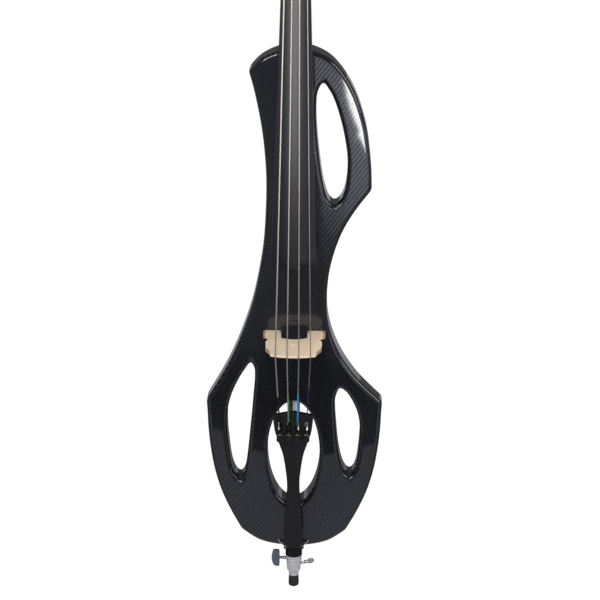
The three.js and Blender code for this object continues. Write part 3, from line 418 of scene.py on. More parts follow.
def lever_with_painted_highlight(name):
    """Blacked steel with a painted near-white highlight on one side, another side on each lever."""
    finish = Finish(name, (0.03, 0.03, 0.03), 0.4, specular_ior_level=0.1)
    x, _, _ = finish.place()
    grain = finish.streaks(60.0, 800.0, 800.0)
    # Painted highlight: one side of each lever is painted near white.
    painted_highlight = (x > 0.0186) + (x > 0.0069) * (x < 0.012) + (x < -0.0198)
    return finish.surface(painted_highlight * (grain * 0.3 + 0.7), (0.012, 0.012, 0.013), (0.95, 0.95, 0.95),
                          grain, (0.4, 0.55), 0.00001)


def tube_with_painted_reflections(name):
    """Lacquered tube with painted reflections: dark bands on its front half, and pale lavender and
    white bands beside them.
    """
    finish = Finish(name, (0.7, 0.7, 0.76), 0.25, 0.6)
    x, y, _ = finish.place()
    grain = finish.streaks(900.0, 900.0, 30.0)
    # Painted reflections: dark bands where the tube would mirror dark surroundings, lavender and
    # white bands beside them.
    dark = (x < -0.0064) + (x > -0.005) * (x < -0.0023)
    pale = finish.between(x > -0.0023, (0.45, 0.44, 0.52), (0.95, 0.95, 0.95))
    return finish.surface(dark * (y < 0.0) * (grain * 0.06 + 0.93), pale, (0.004, 0.004, 0.006),
                          grain, (0.2, 0.32), 0.00001)


def saddle_with_painted_highlight(name):
    """Black with a painted light grey highlight along its slanted edges, where the wedge meets the
    body.
    """
    finish = Finish(name, (0.012, 0.012, 0.013), 0.18)
    x, _, z = finish.place()
    grain = finish.noise(700.0, 3.0)
    # Painted highlight: a light grey strip along the slanted edges.
    edge = (x.size() * 1000.0 - z * 1040.0 + 64.5) > -1.3
    return finish.surface(edge * (grain * 0.4 + 0.6), (0.01, 0.01, 0.011), (0.5, 0.5, 0.52),
                          grain, (0.15, 0.24), 0.00002)


print("helpers for pieces with marks of their own ready")

# %% [markdown]
# One table holds a finish for every material slot of the model, and a few more for details that
# have no slot, such as the silk and the pointers on the knobs. The solids are painted from the same
# table, so any of them can be shown beside its finer piece.

# %% The table of finishes
FINISHES.update({
    "neck": FINISHES["body"],
    "silk_C": silk("black_silk", (0.01, 0.009, 0.009)),
    "silk_G": silk("green_silk", (0.085, 0.26, 0.075)),
    "silk_D": silk("blue_silk", (0.035, 0.24, 0.56)),
    "silk_A": silk("purple_silk", (0.022, 0.014, 0.09)),
    "pointer": speckled("pointer_white", (0.75, 0.75, 0.72), 0.5, 900.0, 0.1),
    "saddle": saddle_with_painted_highlight("saddle_black"),
    "fingerboard": oiled_board("oiled_board"),
    "fitting_black": speckled("polished_black", (0.012, 0.012, 0.013), 0.18, 700.0, 0.3),
    "peg": speckled("peg_black", (0.014, 0.012, 0.011), 0.32, 500.0, 0.4),
    "bridge": maple("bare_maple"),
    "pickup": speckled("pickup_black", (0.02, 0.02, 0.02), 0.5, 900.0, 0.3),
    "tailpiece": speckled("tailpiece_black", (0.0048, 0.0048, 0.0053), 0.42, 1200.0, 0.3,
                          specular_ior_level=0.35),
    "tuner_bush": brushed("gold_plate", (0.46, 0.33, 0.19), 0.35, (900.0, 40.0, 900.0), 0.75),
    "tuner_screw": speckled("blacked_steel", (0.02, 0.02, 0.022), 0.35, 900.0, 0.3,
                            metallic=0.7),
    "tuner_lever": lever_with_painted_highlight("worn_lever"),
    "tailgut": speckled("tailcord", (0.02, 0.02, 0.022), 0.6, 2500.0, 0.5, 0.0001),
    "endpin_plug": speckled("plug_black", (0.006, 0.006, 0.007), 0.4, 900.0, 0.3,
                             specular_ior_level=0.2),
    "endpin_sleeve": tube_with_painted_reflections("polished_tube"),
    "endpin_collar": brushed("brushed_aluminium", (0.55, 0.55, 0.575), 0.36,
                             (40.0, 40.0, 1600.0), 0.35),
    "wing_screw": speckled("wing_blue", (0.07, 0.092, 0.14), 0.4, 900.0, 0.18),
    "clamp_screw": brushed("chrome_screw", (0.55, 0.56, 0.59), 0.12, (400.0, 400.0, 400.0)),
    "endpin_rod": speckled("rod_black", (0.02, 0.02, 0.022), 0.28, 800.0, 0.3, metallic=0.6),
    "rubber_tip": speckled("tip_rubber", (0.014, 0.014, 0.015), 0.7, 1500.0, 0.4, 0.00008),
    "rear_plate": speckled("plate_black", (0.02, 0.02, 0.021), 0.5, 420.0, 0.12, 0.000004),
    "battery": speckled("battery_can", (0.16, 0.165, 0.18), 0.4, 300.0, 0.2, metallic=0.6),
    "circuit_board": speckled("solder_mask", (0.01, 0.11, 0.045), 0.35, 260.0, 0.45),
    "pot": brushed("pot_steel", (0.6, 0.6, 0.62), 0.3, (300.0, 300.0, 300.0)),
    "knob": speckled("knob_black", (0.017, 0.017, 0.018), 0.4, 1200.0, 0.3),
    "jack": brushed("jack_nickel", (0.75, 0.74, 0.72), 0.2, (500.0, 60.0, 500.0)),
    "cover_screw": brushed("screw_black", (0.09, 0.09, 0.095), 0.35, (500.0, 60.0, 500.0)),
    "neck_bolt": brushed("bolt_black", (0.09, 0.09, 0.095), 0.35, (500.0, 60.0, 500.0)),
    "string": string_steel("string_steel"),
})

SLOT_OF = {row["node"]: row["material_slot"] for row in frame["record"]["subparts"]}
BODY_OF = {node: body for body, nodes in frame["record"]["behaviour"]["bodies"].items()
           for node in nodes}


def paint(mesh, finish):
    mesh.materials.clear()
    mesh.materials.append(FINISHES[finish])


for node, slot in SLOT_OF.items():
    paint(frame["nodes"][node].data, slot)
print(len(FINISHES), "finishes made and given to", len(frame["nodes"]), "solids")

# %% [markdown]
# ## Studio
# The camera sees a pure white floor and sky. Lacquer shows what it mirrors, though, so glossy
# rays get a studio of their own: a near sheet of paper that ends 0.54 m in front of the
# instrument, dark floor beyond it that slowly lightens again, and dark air above. The floor is a
# thin veil to the camera: it takes the shadow, and the endpin still shows where it slides down
# through it. A backdrop of real sheets would work too, but this way each of them can be moved
# without changing the white that the camera sees.

# %% Floor and world
FLOOR_MIRRORED = [(-3.2, 0.15), (-2.1, 0.3), (-1.7, 0.24), (-1.42, 0.14), (-1.2, 0.15),
                  (-1.02, 0.0), (-0.546, 0.0), (-0.541, 0.46), (-0.04, 0.5), (0.1, 0.12),
                  (0.9, 0.12), (1.8, 0.45)]
PAPER_SPREAD, PAPER_RAGGED, PAPER_BLUE = 0.42, 0.012, (0.94, 0.94, 1.06, 1.0)
SIDE_MIRRORED, AIR_MIRRORED, AIR_LIGHT = 1.2, 0.12, 0.55
FLOOR_VEIL, WHITE_AIR = 0.08, 1.05



def floor_mirrored(finish):
    """Brightness along Y, as a chain of ramps; the paper's edge is ragged and bends away."""
    x, y, _ = finish.place()
    ragged = (finish.noise(60.0, 2.0) - 0.5) * PAPER_RAGGED
    y = y + x.size() * PAPER_SPREAD * (y > -1.0) + ragged
    share = FLOOR_MIRRORED[0][1]
    for (y0, low), (y1, high) in zip(FLOOR_MIRRORED, FLOOR_MIRRORED[1:]):
        if high != low:
            share = finish.ramp(y, y0, y1, high - low) + share
    return share + finish.ramp(x, 0.48, 0.64) * finish.ramp(y, -1.75, -2.0) * SIDE_MIRRORED


def floor_finish(name):
    """A veil that keeps a shadow to the camera, paper to light, a studio floor to glossy rays."""
    finish = Finish(name, (0.8, 0.8, 0.81), 0.7)
    paper = finish.shader.outputs[0]
    rays = finish.node("ShaderNodeLightPath").outputs
    clear = finish.node("ShaderNodeBsdfTransparent").outputs[0]
    seen = finish.node("ShaderNodeEmission", {}, {
        "Color": PAPER_BLUE, "Strength": floor_mirrored(finish)}).outputs[0]
    glossy = finish.mixed(rays["Is Glossy Ray"], paper, seen)
    veil = finish.mixed(FLOOR_VEIL, clear, paper)
    camera_ray = finish.mixed(rays["Is Camera Ray"], glossy, veil)
    finish.feed(finish.output.inputs["Surface"], camera_ray)
    return finish.material


def make_floor():
    reach = 9.0
    corners = [(-reach, -reach, 0), (reach, -reach, 0), (reach, reach, 0), (-reach, reach, 0)]
    mesh = bpy.data.meshes.new("floor")
    mesh.from_pydata(corners, [], [(0, 1, 2, 3)])
    mesh.materials.append(floor_finish("floor_white"))
    add_object("floor", mesh)


def make_world():
    """White air to the camera, darker air in a mirror, and a soft light from everywhere."""
    world = bpy.data.worlds.new("studio")
    bpy.context.scene.world = world
    world.use_nodes = True
    air = Nodes(world.node_tree)
    rays = air.node("ShaderNodeLightPath").outputs
    glossy = air.node("ShaderNodeMix", {}, {
        0: rays["Is Glossy Ray"], 2: AIR_LIGHT, 3: AIR_MIRRORED})
    seen = air.node("ShaderNodeMix", {}, {
        0: rays["Is Camera Ray"], 2: glossy.outputs[0], 3: WHITE_AIR})
    glow = air.node("ShaderNodeBackground", {}, {
        "Color": (1.0, 1.0, 1.0, 1.0), "Strength": seen.outputs[0]})
    air.node("ShaderNodeOutputWorld", {}, {"Surface": glow.outputs[0]})


make_floor()
make_world()
print("floor and world")

# %% [markdown]
# The lamps are flat panels, as in a photographer's studio, because their shapes show in the
# lacquer: a key panel, one on the right, a narrow strip low in front for the long highlight, and a
# small panel in front of the fingerboard. Two more only give light and are kept out of mirrors.
# No camera ray sees any of them.

# %% Lamps
# place, target, width and height in metres, brightness of the panel's face, seen in mirrors
LAMPS = {
    "key": ((-1.9, -2.6, 2.4), (0, 0, 0.5), (1.2, 1.2), 8.0, True),
    "right_panel": ((2.6, -0.9, 1.5), (0, 0, 0.5), (1.0, 1.6), 4.0, True),
    "top": ((0, -0.9, 3.2), (0, 0, 0.5), (1.6, 1.2), 3.0, False),
    "rear": ((1.2, 2.6, 2.2), (0, 0, 0.6), (1.4, 1.6), 4.0, False),
    "low_strip": ((0.784, -2.81, 0.03), (0.902, -3.524, 60.0), (0.05, 0.86), 18.0, True),
    "front_high": ((-0.05, -1.3, 1.13), (0, 0, 0.85), (0.35, 0.8), 6.0, True),
}


def lamp(name, place, target, size, glow, mirrored):
    data = bpy.data.lights.new(name, "AREA")
    data.shape = "ELLIPSE" if name == "low_strip" else "RECTANGLE"
    data.size, data.size_y = size
    data.energy = glow * math.pi * size[0] * size[1]
    made = add_object(name, data)
    made.location = place
    made.rotation_euler = (Vector(target) - Vector(place)).to_track_quat("-Z", "Y").to_euler()
    made.visible_camera = False
    made.visible_glossy = mirrored


for name, row in LAMPS.items():
    lamp(name, *row)
bpy.context.scene.view_settings.view_transform = "Standard"
print(len(LAMPS), "lamps")


# %% [markdown]
# ## Making pieces
# Every piece is built as points and faces in the instrument's own frame, so its object stays at
# the origin. Smooth shading with sharp edges kept by angle suits turned and lofted parts; the
# triangles of their flat ends stay flat. Booleans, bevels and growing trees all work on a holder,
# an object whose finished mesh is taken over before it is removed again.


# %% Helpers that make a mesh
WELD_DISTANCE, FLAT_ANGLE = 1e-6, math.radians(0.8)


def weld(mesh, face_outward=False, merge_flat=False):
    """Joins doubled points; then turns the faces outward or merges the coplanar ones."""
    tidy = bmesh.new()
    tidy.from_mesh(mesh)
    bmesh.ops.remove_doubles(tidy, verts=tidy.verts, dist=WELD_DISTANCE)
    if face_outward:
        bmesh.ops.recalc_face_normals(tidy, faces=tidy.faces)
    if merge_flat:
        bmesh.ops.dissolve_limit(tidy, angle_limit=FLAT_ANGLE, verts=tidy.verts,
                                 edges=tidy.edges)
    tidy.to_mesh(mesh)
    tidy.free()


def shade(mesh, angle):
    mesh.shade_smooth()
    mesh.set_sharp_from_angle(angle=math.radians(angle))


def taken_over(holder, *tools):
    """The holder's mesh with its modifiers worked in; the holder and its tools are removed."""
    mesh = bpy.data.meshes.new_from_object(
        holder.evaluated_get(bpy.context.evaluated_depsgraph_get()))
    for item in (holder, *tools):
        bpy.data.objects.remove(item)
    return mesh


def attach(made, slot, body, node=None):
    """Puts the piece on the body that it rides on and hides the solid that it stands for. The slot
    is not used.
    """
    slot in SLOT_OF.values()
    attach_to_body(made, body)
    if node:
        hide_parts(node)


def cut_mesh(mesh, cutters):
    """mesh, welded, with every cutter taken away; the cutters are in millimetres."""
    weld(mesh)
    holder, tools = add_object("cut_holder", mesh), []
    for points, faces in cutters:
        tool_mesh = bpy.data.meshes.new("cutter")
        tool_mesh.from_pydata([tuple(c * MM for c in p) for p in points], [], faces)
        tools.append(add_object("cutter", tool_mesh))
        step = holder.modifiers.new("cut", "BOOLEAN")
        step.operation = "DIFFERENCE"
        step.solver = "MANIFOLD"
        step.object = tools[-1]
    return taken_over(holder, *tools)


def make_piece(name, shape, slot=None, body=ROOT, node=None, smooth=35.0, cutters=()):
    """A shape in millimetres as a piece. A node gives it that solid's slot and body."""
    if node:
        slot, body = SLOT_OF[node], BODY_OF[node]
    points, faces = shape
    mesh = bpy.data.meshes.new(name)
    mesh.from_pydata([tuple(p * MM) for p in points], [], faces)
    weld(mesh, face_outward=True)
    if cutters:
        mesh = cut_mesh(mesh, cutters)
    shade(mesh, smooth)
    if not cutters:
        mesh.polygons.foreach_set("use_smooth", [len(p.vertices) > 3 for p in mesh.polygons])
    paint(mesh, slot)
    attach(add_object(name, mesh), slot, body, node)


# %% Helpers for outlines
def catmull(points, count, closed):
    """The same centripetal curve as the solids follow, sampled count times."""
    p = np.array(points, float)
    n = len(p)
    spans = n if closed else n - 1
    out = []
    for t in np.linspace(0, spans, count + 1):
        i = min(int(t), spans - 1)
        w = t - i
        if closed:
            a, b, c, d = (p[(i + k) % n] for k in (-1, 0, 1, 2))
        else:
            b, c = p[i], p[i + 1]
            a = p[i - 1] if i > 0 else 2 * b - c
            d = p[i + 2] if i + 2 < n else 2 * c - b
        k0, k1, k2 = (max(1e-6, np.sum((v - u) ** 2)) ** 0.25 for u, v in ((a, b), (b, c), (c, d)))
        m1 = ((b - a) / k0 - (c - a) / (k0 + k1) + (c - b) / k1) * k1
        m2 = ((c - b) / k1 - (d - b) / (k1 + k2) + (d - c) / k2) * k1
        h = c - b
        out.append(b + m1 * w + (3 * h - 2 * m1 - m2) * w ** 2 + (m1 + m2 - 2 * h) * w ** 3)
    return np.array(out)


def evenly(points, step, closed):
    """The same path with its points a steady distance apart."""
    path = np.vstack([points, points[:1]]) if closed else np.array(points)
    gaps = np.linalg.norm(np.diff(path, axis=0), axis=1)
    along = np.concatenate([[0], np.cumsum(gaps)])
    count = max(3, int(round(along[-1] / step)))
    wanted = np.linspace(0, along[-1], count + 1)
    even = np.stack([np.interp(wanted, along, path[:, k]) for k in range(path.shape[1])], axis=1)
    return even[:-1] if closed else even


def facing(loops):
    """The first loop anticlockwise and its holes clockwise, so that inward is on the left."""
    out = []
    for i, loop in enumerate(np.array([tuple(p)[:2] for p in loop], float) for loop in loops):
        x, z = loop[:, 0], loop[:, 1]
        area = np.sum(x * np.roll(z, -1) - np.roll(x, -1) * z)
        out.append(loop if (area > 0) == (i == 0) else loop[::-1])
    return out


def loop_inward(loop):
    tangent = np.roll(loop, -1, axis=0) - np.roll(loop, 1, axis=0)
    tangent /= np.maximum(np.linalg.norm(tangent, axis=1), 1e-9)[:, None]
    return np.stack([-tangent[:, 1], tangent[:, 0]], axis=1)


def inside_loops(points, loops):
    """Even-odd test of points against all the loops."""
    x, z = points[:, 0], points[:, 1]
    odd = np.zeros(len(points), bool)
    for loop in loops:
        for a, b in zip(loop, np.roll(loop, -1, axis=0)):
            if a[1] != b[1]:
                at = a[0] + (z - a[1]) * (b[0] - a[0]) / (b[1] - a[1])
                odd ^= ((a[1] > z) != (b[1] > z)) & (x < at)
    return odd


def loop_edges(loops):
    """The sides of the loops, as pairs of numbers in the list of all their points."""
    first = np.cumsum([0] + [len(loop) for loop in loops])
    return [(int(first[i] + k), int(first[i] + (k + 1) % len(loop)))
            for i, loop in enumerate(loops) for k in range(len(loop))]


print("mesh helpers ready")

# %% [markdown]
# ## Body
# The real body is one slab with a raised middle: wings slope away from two folds, every edge is
# rounded, and four openings go right through. Its outline is written as shares of its half width
# and its height, the same sizes as the solid's. The surface is made from distances: a point's
# depth depends on how far it is beyond the fold and how near it is to an edge, so the rounded rim
# follows every corner without overlapping itself.

# %% Sizes of the body, in millimetres
BODY_BOTTOM, BODY_HEIGHT, BODY_HALF = 73.0, 746.0, 127.0
BODY_FRONT, BODY_BACK, RIM, CORNER_TRIM = 23.0, 23.0, 6.0, 5.0
BOTTOM = [[0.598, 0.034], [0.402, 0.012], [0.213, 0.003], [0, 0]]
LOWER_SIDE = [[0.598, 0.034], [0.72, 0.071], [0.832, 0.113], [0.908, 0.156],
              [0.953, 0.198], [0.98, 0.24], [0.992, 0.281], [1, 0.301]]
RIGHT_WAIST = [[1, 0.301], [0.882, 0.32], [0.702, 0.352], [0.538, 0.393], [0.43, 0.434],
               [0.371, 0.475], [0.361, 0.502], [0.363, 0.528], [0.388, 0.568],
               [0.446, 0.608], [0.536, 0.648], [0.673, 0.687], [0.848, 0.726]]
TOP = [[0.848, 0.726], [0.839, 0.766], [0.819, 0.801], [0.787, 0.84], [0.735, 0.875],
       [0.655, 0.913], [0.528, 0.951], [0.369, 0.98], [0.183, 0.995], [0, 1],
       [-0.188, 0.994], [-0.374, 0.979], [-0.516, 0.955]]
LEFT_FLANK = [[-0.516, 0.955], [-0.455, 0.918], [-0.367, 0.841], [-0.324, 0.764],
              [-0.324, 0.696], [-0.355, 0.616], [-0.433, 0.535], [-0.491, 0.494],
              [-0.569, 0.4525], [-0.661, 0.411], [-0.775, 0.369], [-1, 0.301]]
UPPER_HOLE = [[0.302, 0.933], [0.374, 0.918], [0.428, 0.899], [0.498, 0.861],
              [0.547, 0.823], [0.575, 0.784], [0.564, 0.744], [0.538, 0.722],
              [0.494, 0.706], [0.433, 0.6985], [0.378, 0.7055], [0.337, 0.722],
              [0.307, 0.743], [0.286, 0.764], [0.257, 0.803], [0.236, 0.841],
              [0.226, 0.88], [0.244, 0.918]]
LEFT_HOLE = [[-0.492, 0.381], [-0.575, 0.363], [-0.643, 0.342], [-0.698, 0.321],
             [-0.737, 0.3], [-0.76, 0.279], [-0.765, 0.258], [-0.762, 0.237],
             [-0.751, 0.215], [-0.736, 0.191], [-0.71, 0.165], [-0.668, 0.147],
             [-0.618, 0.1395], [-0.574, 0.1475], [-0.541, 0.176], [-0.518, 0.214],
             [-0.503, 0.24], [-0.48, 0.281], [-0.46, 0.323], [-0.447, 0.352],
             [-0.454, 0.371]]
RIGHT_HOLE = [[0.516, 0.33], [0.475, 0.316], [0.462, 0.302], [0.463, 0.283], [0.47, 0.262],
              [0.481, 0.241], [0.492, 0.22], [0.509, 0.198], [0.538, 0.1745], [0.58, 0.156],
              [0.632, 0.1485], [0.679, 0.155], [0.713, 0.173], [0.732, 0.197],
              [0.743, 0.22], [0.748, 0.241], [0.741, 0.262], [0.713, 0.283],
              [0.66, 0.304], [0.587, 0.323]]
OVAL_X, OVAL_Z, OVAL_WIDE, OVAL_TALL = -0.8, 218.7, 38.0, 80.5
FRONT_SLOPE = 0.12
# height, left fold and right fold as shares, and how steeply the back falls beyond them
FOLDS = np.array([
    [0, -0.598, 0.591, 0.06], [0.17, -0.543, 0.543, 0.06], [0.237, -0.5, 0.469, 0.06],
    [0.318, -0.457, 0.433, 0.06], [0.412, -0.394, 0.354, 0.06], [0.492, -0.319, 0.346, 0.08],
    [0.579, -0.268, 0.323, 0.1], [0.706, -0.248, 0.252, 0.11], [0.84, -0.22, 0.213, 0.11],
    [1, -0.197, 0.189, 0.11],
])
FOLD_SOFTNESS = 4.0
EDGE_STEP, GRID_STEP = 2.2, 4.5
RIM_INSETS = [0.12, 0.5, 1.2, 2.2, 3.5, 5.0, 6.0, 8.0]


# %% Outlines of the body
def from_shares(shares):
    s = np.array(shares, float)
    return np.stack([s[:, 0] * BODY_HALF, BODY_BOTTOM + s[:, 1] * BODY_HEIGHT], axis=1)


def body_outline():
    mirrored = [[-x, z] for x, z in LOWER_SIDE][::-1]
    parts = [BOTTOM[::-1], LOWER_SIDE, RIGHT_WAIST, TOP, LEFT_FLANK, mirrored,
             [[-x, z] for x, z in BOTTOM]]
    outline = []
    for i, shares in enumerate(parts):
        path = catmull(from_shares(shares), 60, False)
        start, end = path[0], path[-1]
        keep = np.ones(len(path), bool)
        if i > 0:
            keep &= np.linalg.norm(path - start, axis=1) > CORNER_TRIM
        if i < len(parts) - 1:
            keep &= np.linalg.norm(path - end, axis=1) > CORNER_TRIM
        kept = path[keep]
        if i > 0:
            towards = start + (kept[0] - start) * CORNER_TRIM / np.linalg.norm(kept[0] - start)
            before = outline[-1]
            for t in np.linspace(0, 1, 9)[1:]:
                outline.append(before * (1 - t) ** 2 + start * 2 * t * (1 - t) + towards * t ** 2)
        outline.extend(kept)
        if i < len(parts) - 1:
            outline.append(end + (kept[-1] - end) * CORNER_TRIM / np.linalg.norm(kept[-1] - end))
    return evenly(np.array(outline[:-1]), EDGE_STEP, True)


def body_loops():
    turn = np.linspace(0, 2 * math.pi, 200, endpoint=False)
    oval = np.stack([OVAL_X + OVAL_WIDE * np.cos(turn), OVAL_Z + OVAL_TALL * np.sin(turn)], axis=1)
    holes = [evenly(catmull(from_shares(s), 400, True)[:-1], EDGE_STEP, True)
             for s in (UPPER_HOLE, LEFT_HOLE, RIGHT_HOLE)]
    return facing([body_outline(), *holes, evenly(oval, EDGE_STEP, True)])


LOOPS = body_loops()
print("outline points:", [len(loop) for loop in LOOPS])


# %% The body's surface as a formula
class Edges:
    """Distance from a point of the front view to the nearest edge, and the way away from it."""

    def __init__(self, loops):
        self.starts = np.vstack(loops)
        self.ends = np.vstack([np.roll(loop, -1, axis=0) for loop in loops])
        first = np.cumsum([0] + [len(loop) for loop in loops])
        self.previous = np.concatenate([
            first[i] + (np.arange(len(loop)) - 1) % len(loop) for i, loop in enumerate(loops)])
        self.tree = kdtree.KDTree(len(self.starts))
        for i, (x, z) in enumerate(self.starts):
            self.tree.insert((x, z, 0), i)
        self.tree.balance()

    def near(self, points):
        """Distances and unit directions away from the nearest edge."""
        index = np.array([self.tree.find((x, z, 0))[1] for x, z in points])
        best = np.full(len(points), 1e9)
        away = np.zeros((len(points), 2))
        for segment in (index, self.previous[index]):
            a, b = self.starts[segment], self.ends[segment]
            ab = b - a
            t = np.clip(np.sum((points - a) * ab, axis=1) / np.sum(ab * ab, axis=1), 0, 1)
            gap = points - (a + ab * t[:, None])
            distance = np.linalg.norm(gap, axis=1)
            inward = np.stack([-ab[:, 1], ab[:, 0]], axis=1)
            inward /= np.linalg.norm(inward, axis=1)[:, None]
            away_from = gap / np.maximum(distance, 1e-9)[:, None]
            direction = np.where(distance[:, None] > 1e-3, away_from, inward)
            closer = distance < best
            best[closer] = distance[closer]
            away[closer] = direction[closer]
        return best, away


EDGES = Edges(LOOPS)


def fold_column(z, column):
    return np.interp((z - BODY_BOTTOM) / BODY_HEIGHT, FOLDS[:, 0], FOLDS[:, column])


def soft_beyond(distance):
    """0 before the fold, the distance past it, with a small rounding in between."""
    w = FOLD_SOFTNESS
    middle = (distance + w) ** 2 / (4 * w)
    return np.where(distance <= -w, 0.0, np.where(distance >= w, distance, middle))


def body_depths(points, distance=None):
    """Y of the front and of the back surface at points of the front view, in millimetres."""
    x, z = points[:, 0], points[:, 1]
    if distance is None:
        distance, _ = EDGES.near(points)
    beyond = (soft_beyond(fold_column(z, 1) * BODY_HALF - x)
              + soft_beyond(x - fold_column(z, 2) * BODY_HALF))
    inside = np.clip(RIM - distance, 0, RIM)
    rounding = RIM - np.sqrt(np.maximum(RIM ** 2 - inside ** 2, 0))
    front = -BODY_FRONT + FRONT_SLOPE * beyond + rounding
    back = BODY_BACK - fold_column(z, 3) * beyond - rounding
    return front, back


# %% Points of the body's faces
STAGGERED_FROM, RING_KEPT, GRID_GAP = 3.0, 0.985, 1.5


def body_points():
    """Rings that follow every edge, closer together where the rim bends, and a wide grid."""
    rings = []
    for loop in LOOPS:
        inward = loop_inward(loop)
        for inset in RIM_INSETS:
            ring = loop + inward * inset
            distance, _ = EDGES.near(ring)
            keep = distance > inset * RING_KEPT
            if inset > STAGGERED_FROM:
                keep &= np.arange(len(ring)) % 2 == 0
            rings.append(ring[keep])
    row = GRID_STEP * math.sqrt(3) / 2
    heights = np.arange(BODY_BOTTOM, BODY_BOTTOM + BODY_HEIGHT, row)
    across = np.arange(-BODY_HALF, BODY_HALF, GRID_STEP)
    grid = np.vstack([
        np.stack([across + (i % 2) * GRID_STEP / 2, np.full(len(across), z)], axis=1)
        for i, z in enumerate(heights)])
    grid = grid[inside_loops(grid, LOOPS)]
    distance, _ = EDGES.near(grid)
    return np.vstack([*rings, grid[distance > RIM_INSETS[-1] + GRID_GAP]])


# %% Triangles of the body's faces
def faces_within(flat, faces, rims):
    """The triangles of the body. A stretch that no rim closes off lies outside, and any other
    is told by its largest triangle, because a sliver along a rim is too thin for the test."""
    fences = {frozenset(side) for rim in rims for side in zip(rim, rim[1:] + rim[:1])}
    sides = [[frozenset(side) for side in zip(face, face[1:] + face[:1])] for face in faces]
    beside = {}
    for i, three in enumerate(sides):
        for side in three:
            beside.setdefault(side, []).append(i)
    stretches, seen = [], set()
    for start in range(len(faces)):
        if start in seen:
            continue
        seen.add(start)
        stretch, waiting, closed = [], [start], True
        while waiting:
            i = waiting.pop()
            stretch.append(i)
            for side in sides[i]:
                if side in fences:
                    continue
                closed &= len(beside[side]) == 2
                for j in beside[side]:
                    if j not in seen:
                        seen.add(j)
                        waiting.append(j)
        if closed:
            stretches.append(stretch)
    faces = np.array(faces)
    one, two = (flat[faces[:, k]] - flat[faces[:, 0]] for k in (1, 2))
    area = np.abs(one[:, 0] * two[:, 1] - one[:, 1] * two[:, 0])
    largest = np.array([stretch[int(np.argmax(area[stretch]))] for stretch in stretches])
    kept = inside_loops(flat[faces[largest]].mean(axis=1), LOOPS)
    return faces[sorted(i for stretch, keep in zip(stretches, kept) if keep for i in stretch)]


def body_triangles():
    points = np.vstack([*LOOPS, body_points()])
    made = delaunay_2d_cdt([Vector(p) for p in points], loop_edges(LOOPS), [], 0, 1e-5)
    flat = np.array([tuple(v) for v in made[0]])
    named = {source: i for i, sources in enumerate(made[3]) for source in sources}
    rims, first = [], 0
    for loop in LOOPS:
        rims.append([named[first + k] for k in range(len(loop))])
        first += len(loop)
    return flat, faces_within(flat, made[2], rims), rims


flat_points, flat_faces, flat_rims = body_triangles()
print("front view of the body:", len(flat_points), "points,", len(flat_faces), "triangles")


# %% The closed slab
WALL_STEPS = 6


def slab_mesh():
    front, back = body_depths(flat_points)
    used = np.unique(flat_faces)
    number = {int(v): i for i, v in enumerate(used)}
    count = len(used)
    points = [(flat_points[v][0], front[v], flat_points[v][1]) for v in used]
    points += [(flat_points[v][0], back[v], flat_points[v][1]) for v in used]
    faces = [tuple(number[v] for v in face) for face in flat_faces.tolist()]
    faces += [tuple(count + number[v] for v in reversed(face)) for face in flat_faces.tolist()]
    for rim in flat_rims:
        columns = []
        for v in rim:
            column = [number[v]]
            for k in range(1, WALL_STEPS):
                share = k / WALL_STEPS
                points.append((flat_points[v][0], front[v] + (back[v] - front[v]) * share,
                               flat_points[v][1]))
                column.append(len(points) - 1)
            columns.append(column + [count + number[v]])
        for a, b in zip(columns, columns[1:] + columns[:1]):
            for k in range(WALL_STEPS):
                faces.append((a[k], a[k + 1], b[k + 1], b[k]))
    return np.array(points) * MM, faces


# %% [markdown]
# The neck pocket, the bores and the rear bay are cut out of the slab with one Boolean for each
# cutter. A Boolean leaves long thin triangles beside its cuts, which would ripple in the gloss, so
# each corner of the finished mesh then gets its normal from the surface's own formula where it
# lies on that surface, and from its flat face where it lies in a cut.


# %% Cutters for the body
def around(count):
    """The angles of count points evenly spread round a circle."""
    return [2 * math.pi * k / count for k in range(count)]


def band(a, b, count):
    """The faces between two rings of count points that start at the numbers a and b."""
    return [(a + k, a + (k + 1) % count, b + (k + 1) % count, b + k) for k in range(count)]


def prism(bottom, top):
    """A closed solid between two outlines that have as many points."""
    count = len(bottom)
    ends = [tuple(reversed(range(count))), tuple(range(count, 2 * count))]
    return [*bottom, *top], ends + band(0, count, count)


def box_solid(low, high):
    (x0, y0, z0), (x1, y1, z1) = low, high
    return prism(*([(x0, y0, z), (x1, y0, z), (x1, y1, z), (x0, y1, z)] for z in (z0, z1)))


def round_solid(radius, start, end, sides=64):
    start, end = Vector(start), Vector(end)
    turn = (end - start).normalized().to_track_quat("Z", "Y")
    circle = [Vector((radius * math.cos(t), radius * math.sin(t), 0)) for t in around(sides)]
    return prism(*([middle + turn @ p for p in circle] for middle in (start, end)))


FIT, DEEP = 0.3, 60.0
BELOW, ABOVE = BODY_BOTTOM - DEEP, BODY_BOTTOM + BODY_HEIGHT + DEEP
# radius and both ends of the bores for plug, sleeve and rod
BORES = [(11.3, BELOW, 120.3), (8.3, 110, 318.3), (5.7, 300, 435)]
SADDLE_NOTCH = [(23.6, 84.3), (13.3, 74.5), (13.3, BELOW),
                (-13.3, BELOW), (-13.3, 74.5), (-23.6, 84.3)]
BOLT_HEIGHTS = (765.0, 800.0)


def front_cutters():
    """The pocket of the neck, the bores and the notch of the saddle."""
    return [
        box_solid((-21.3, -DEEP, 744.7), (21.3, -4.7, ABOVE)),
        *(round_solid(radius, (0, 0, low), (0, 0, high)) for radius, low, high in BORES),
        prism(*([(x, y, z) for x, z in SADDLE_NOTCH] for y in (-DEEP, -14.7))),
    ]


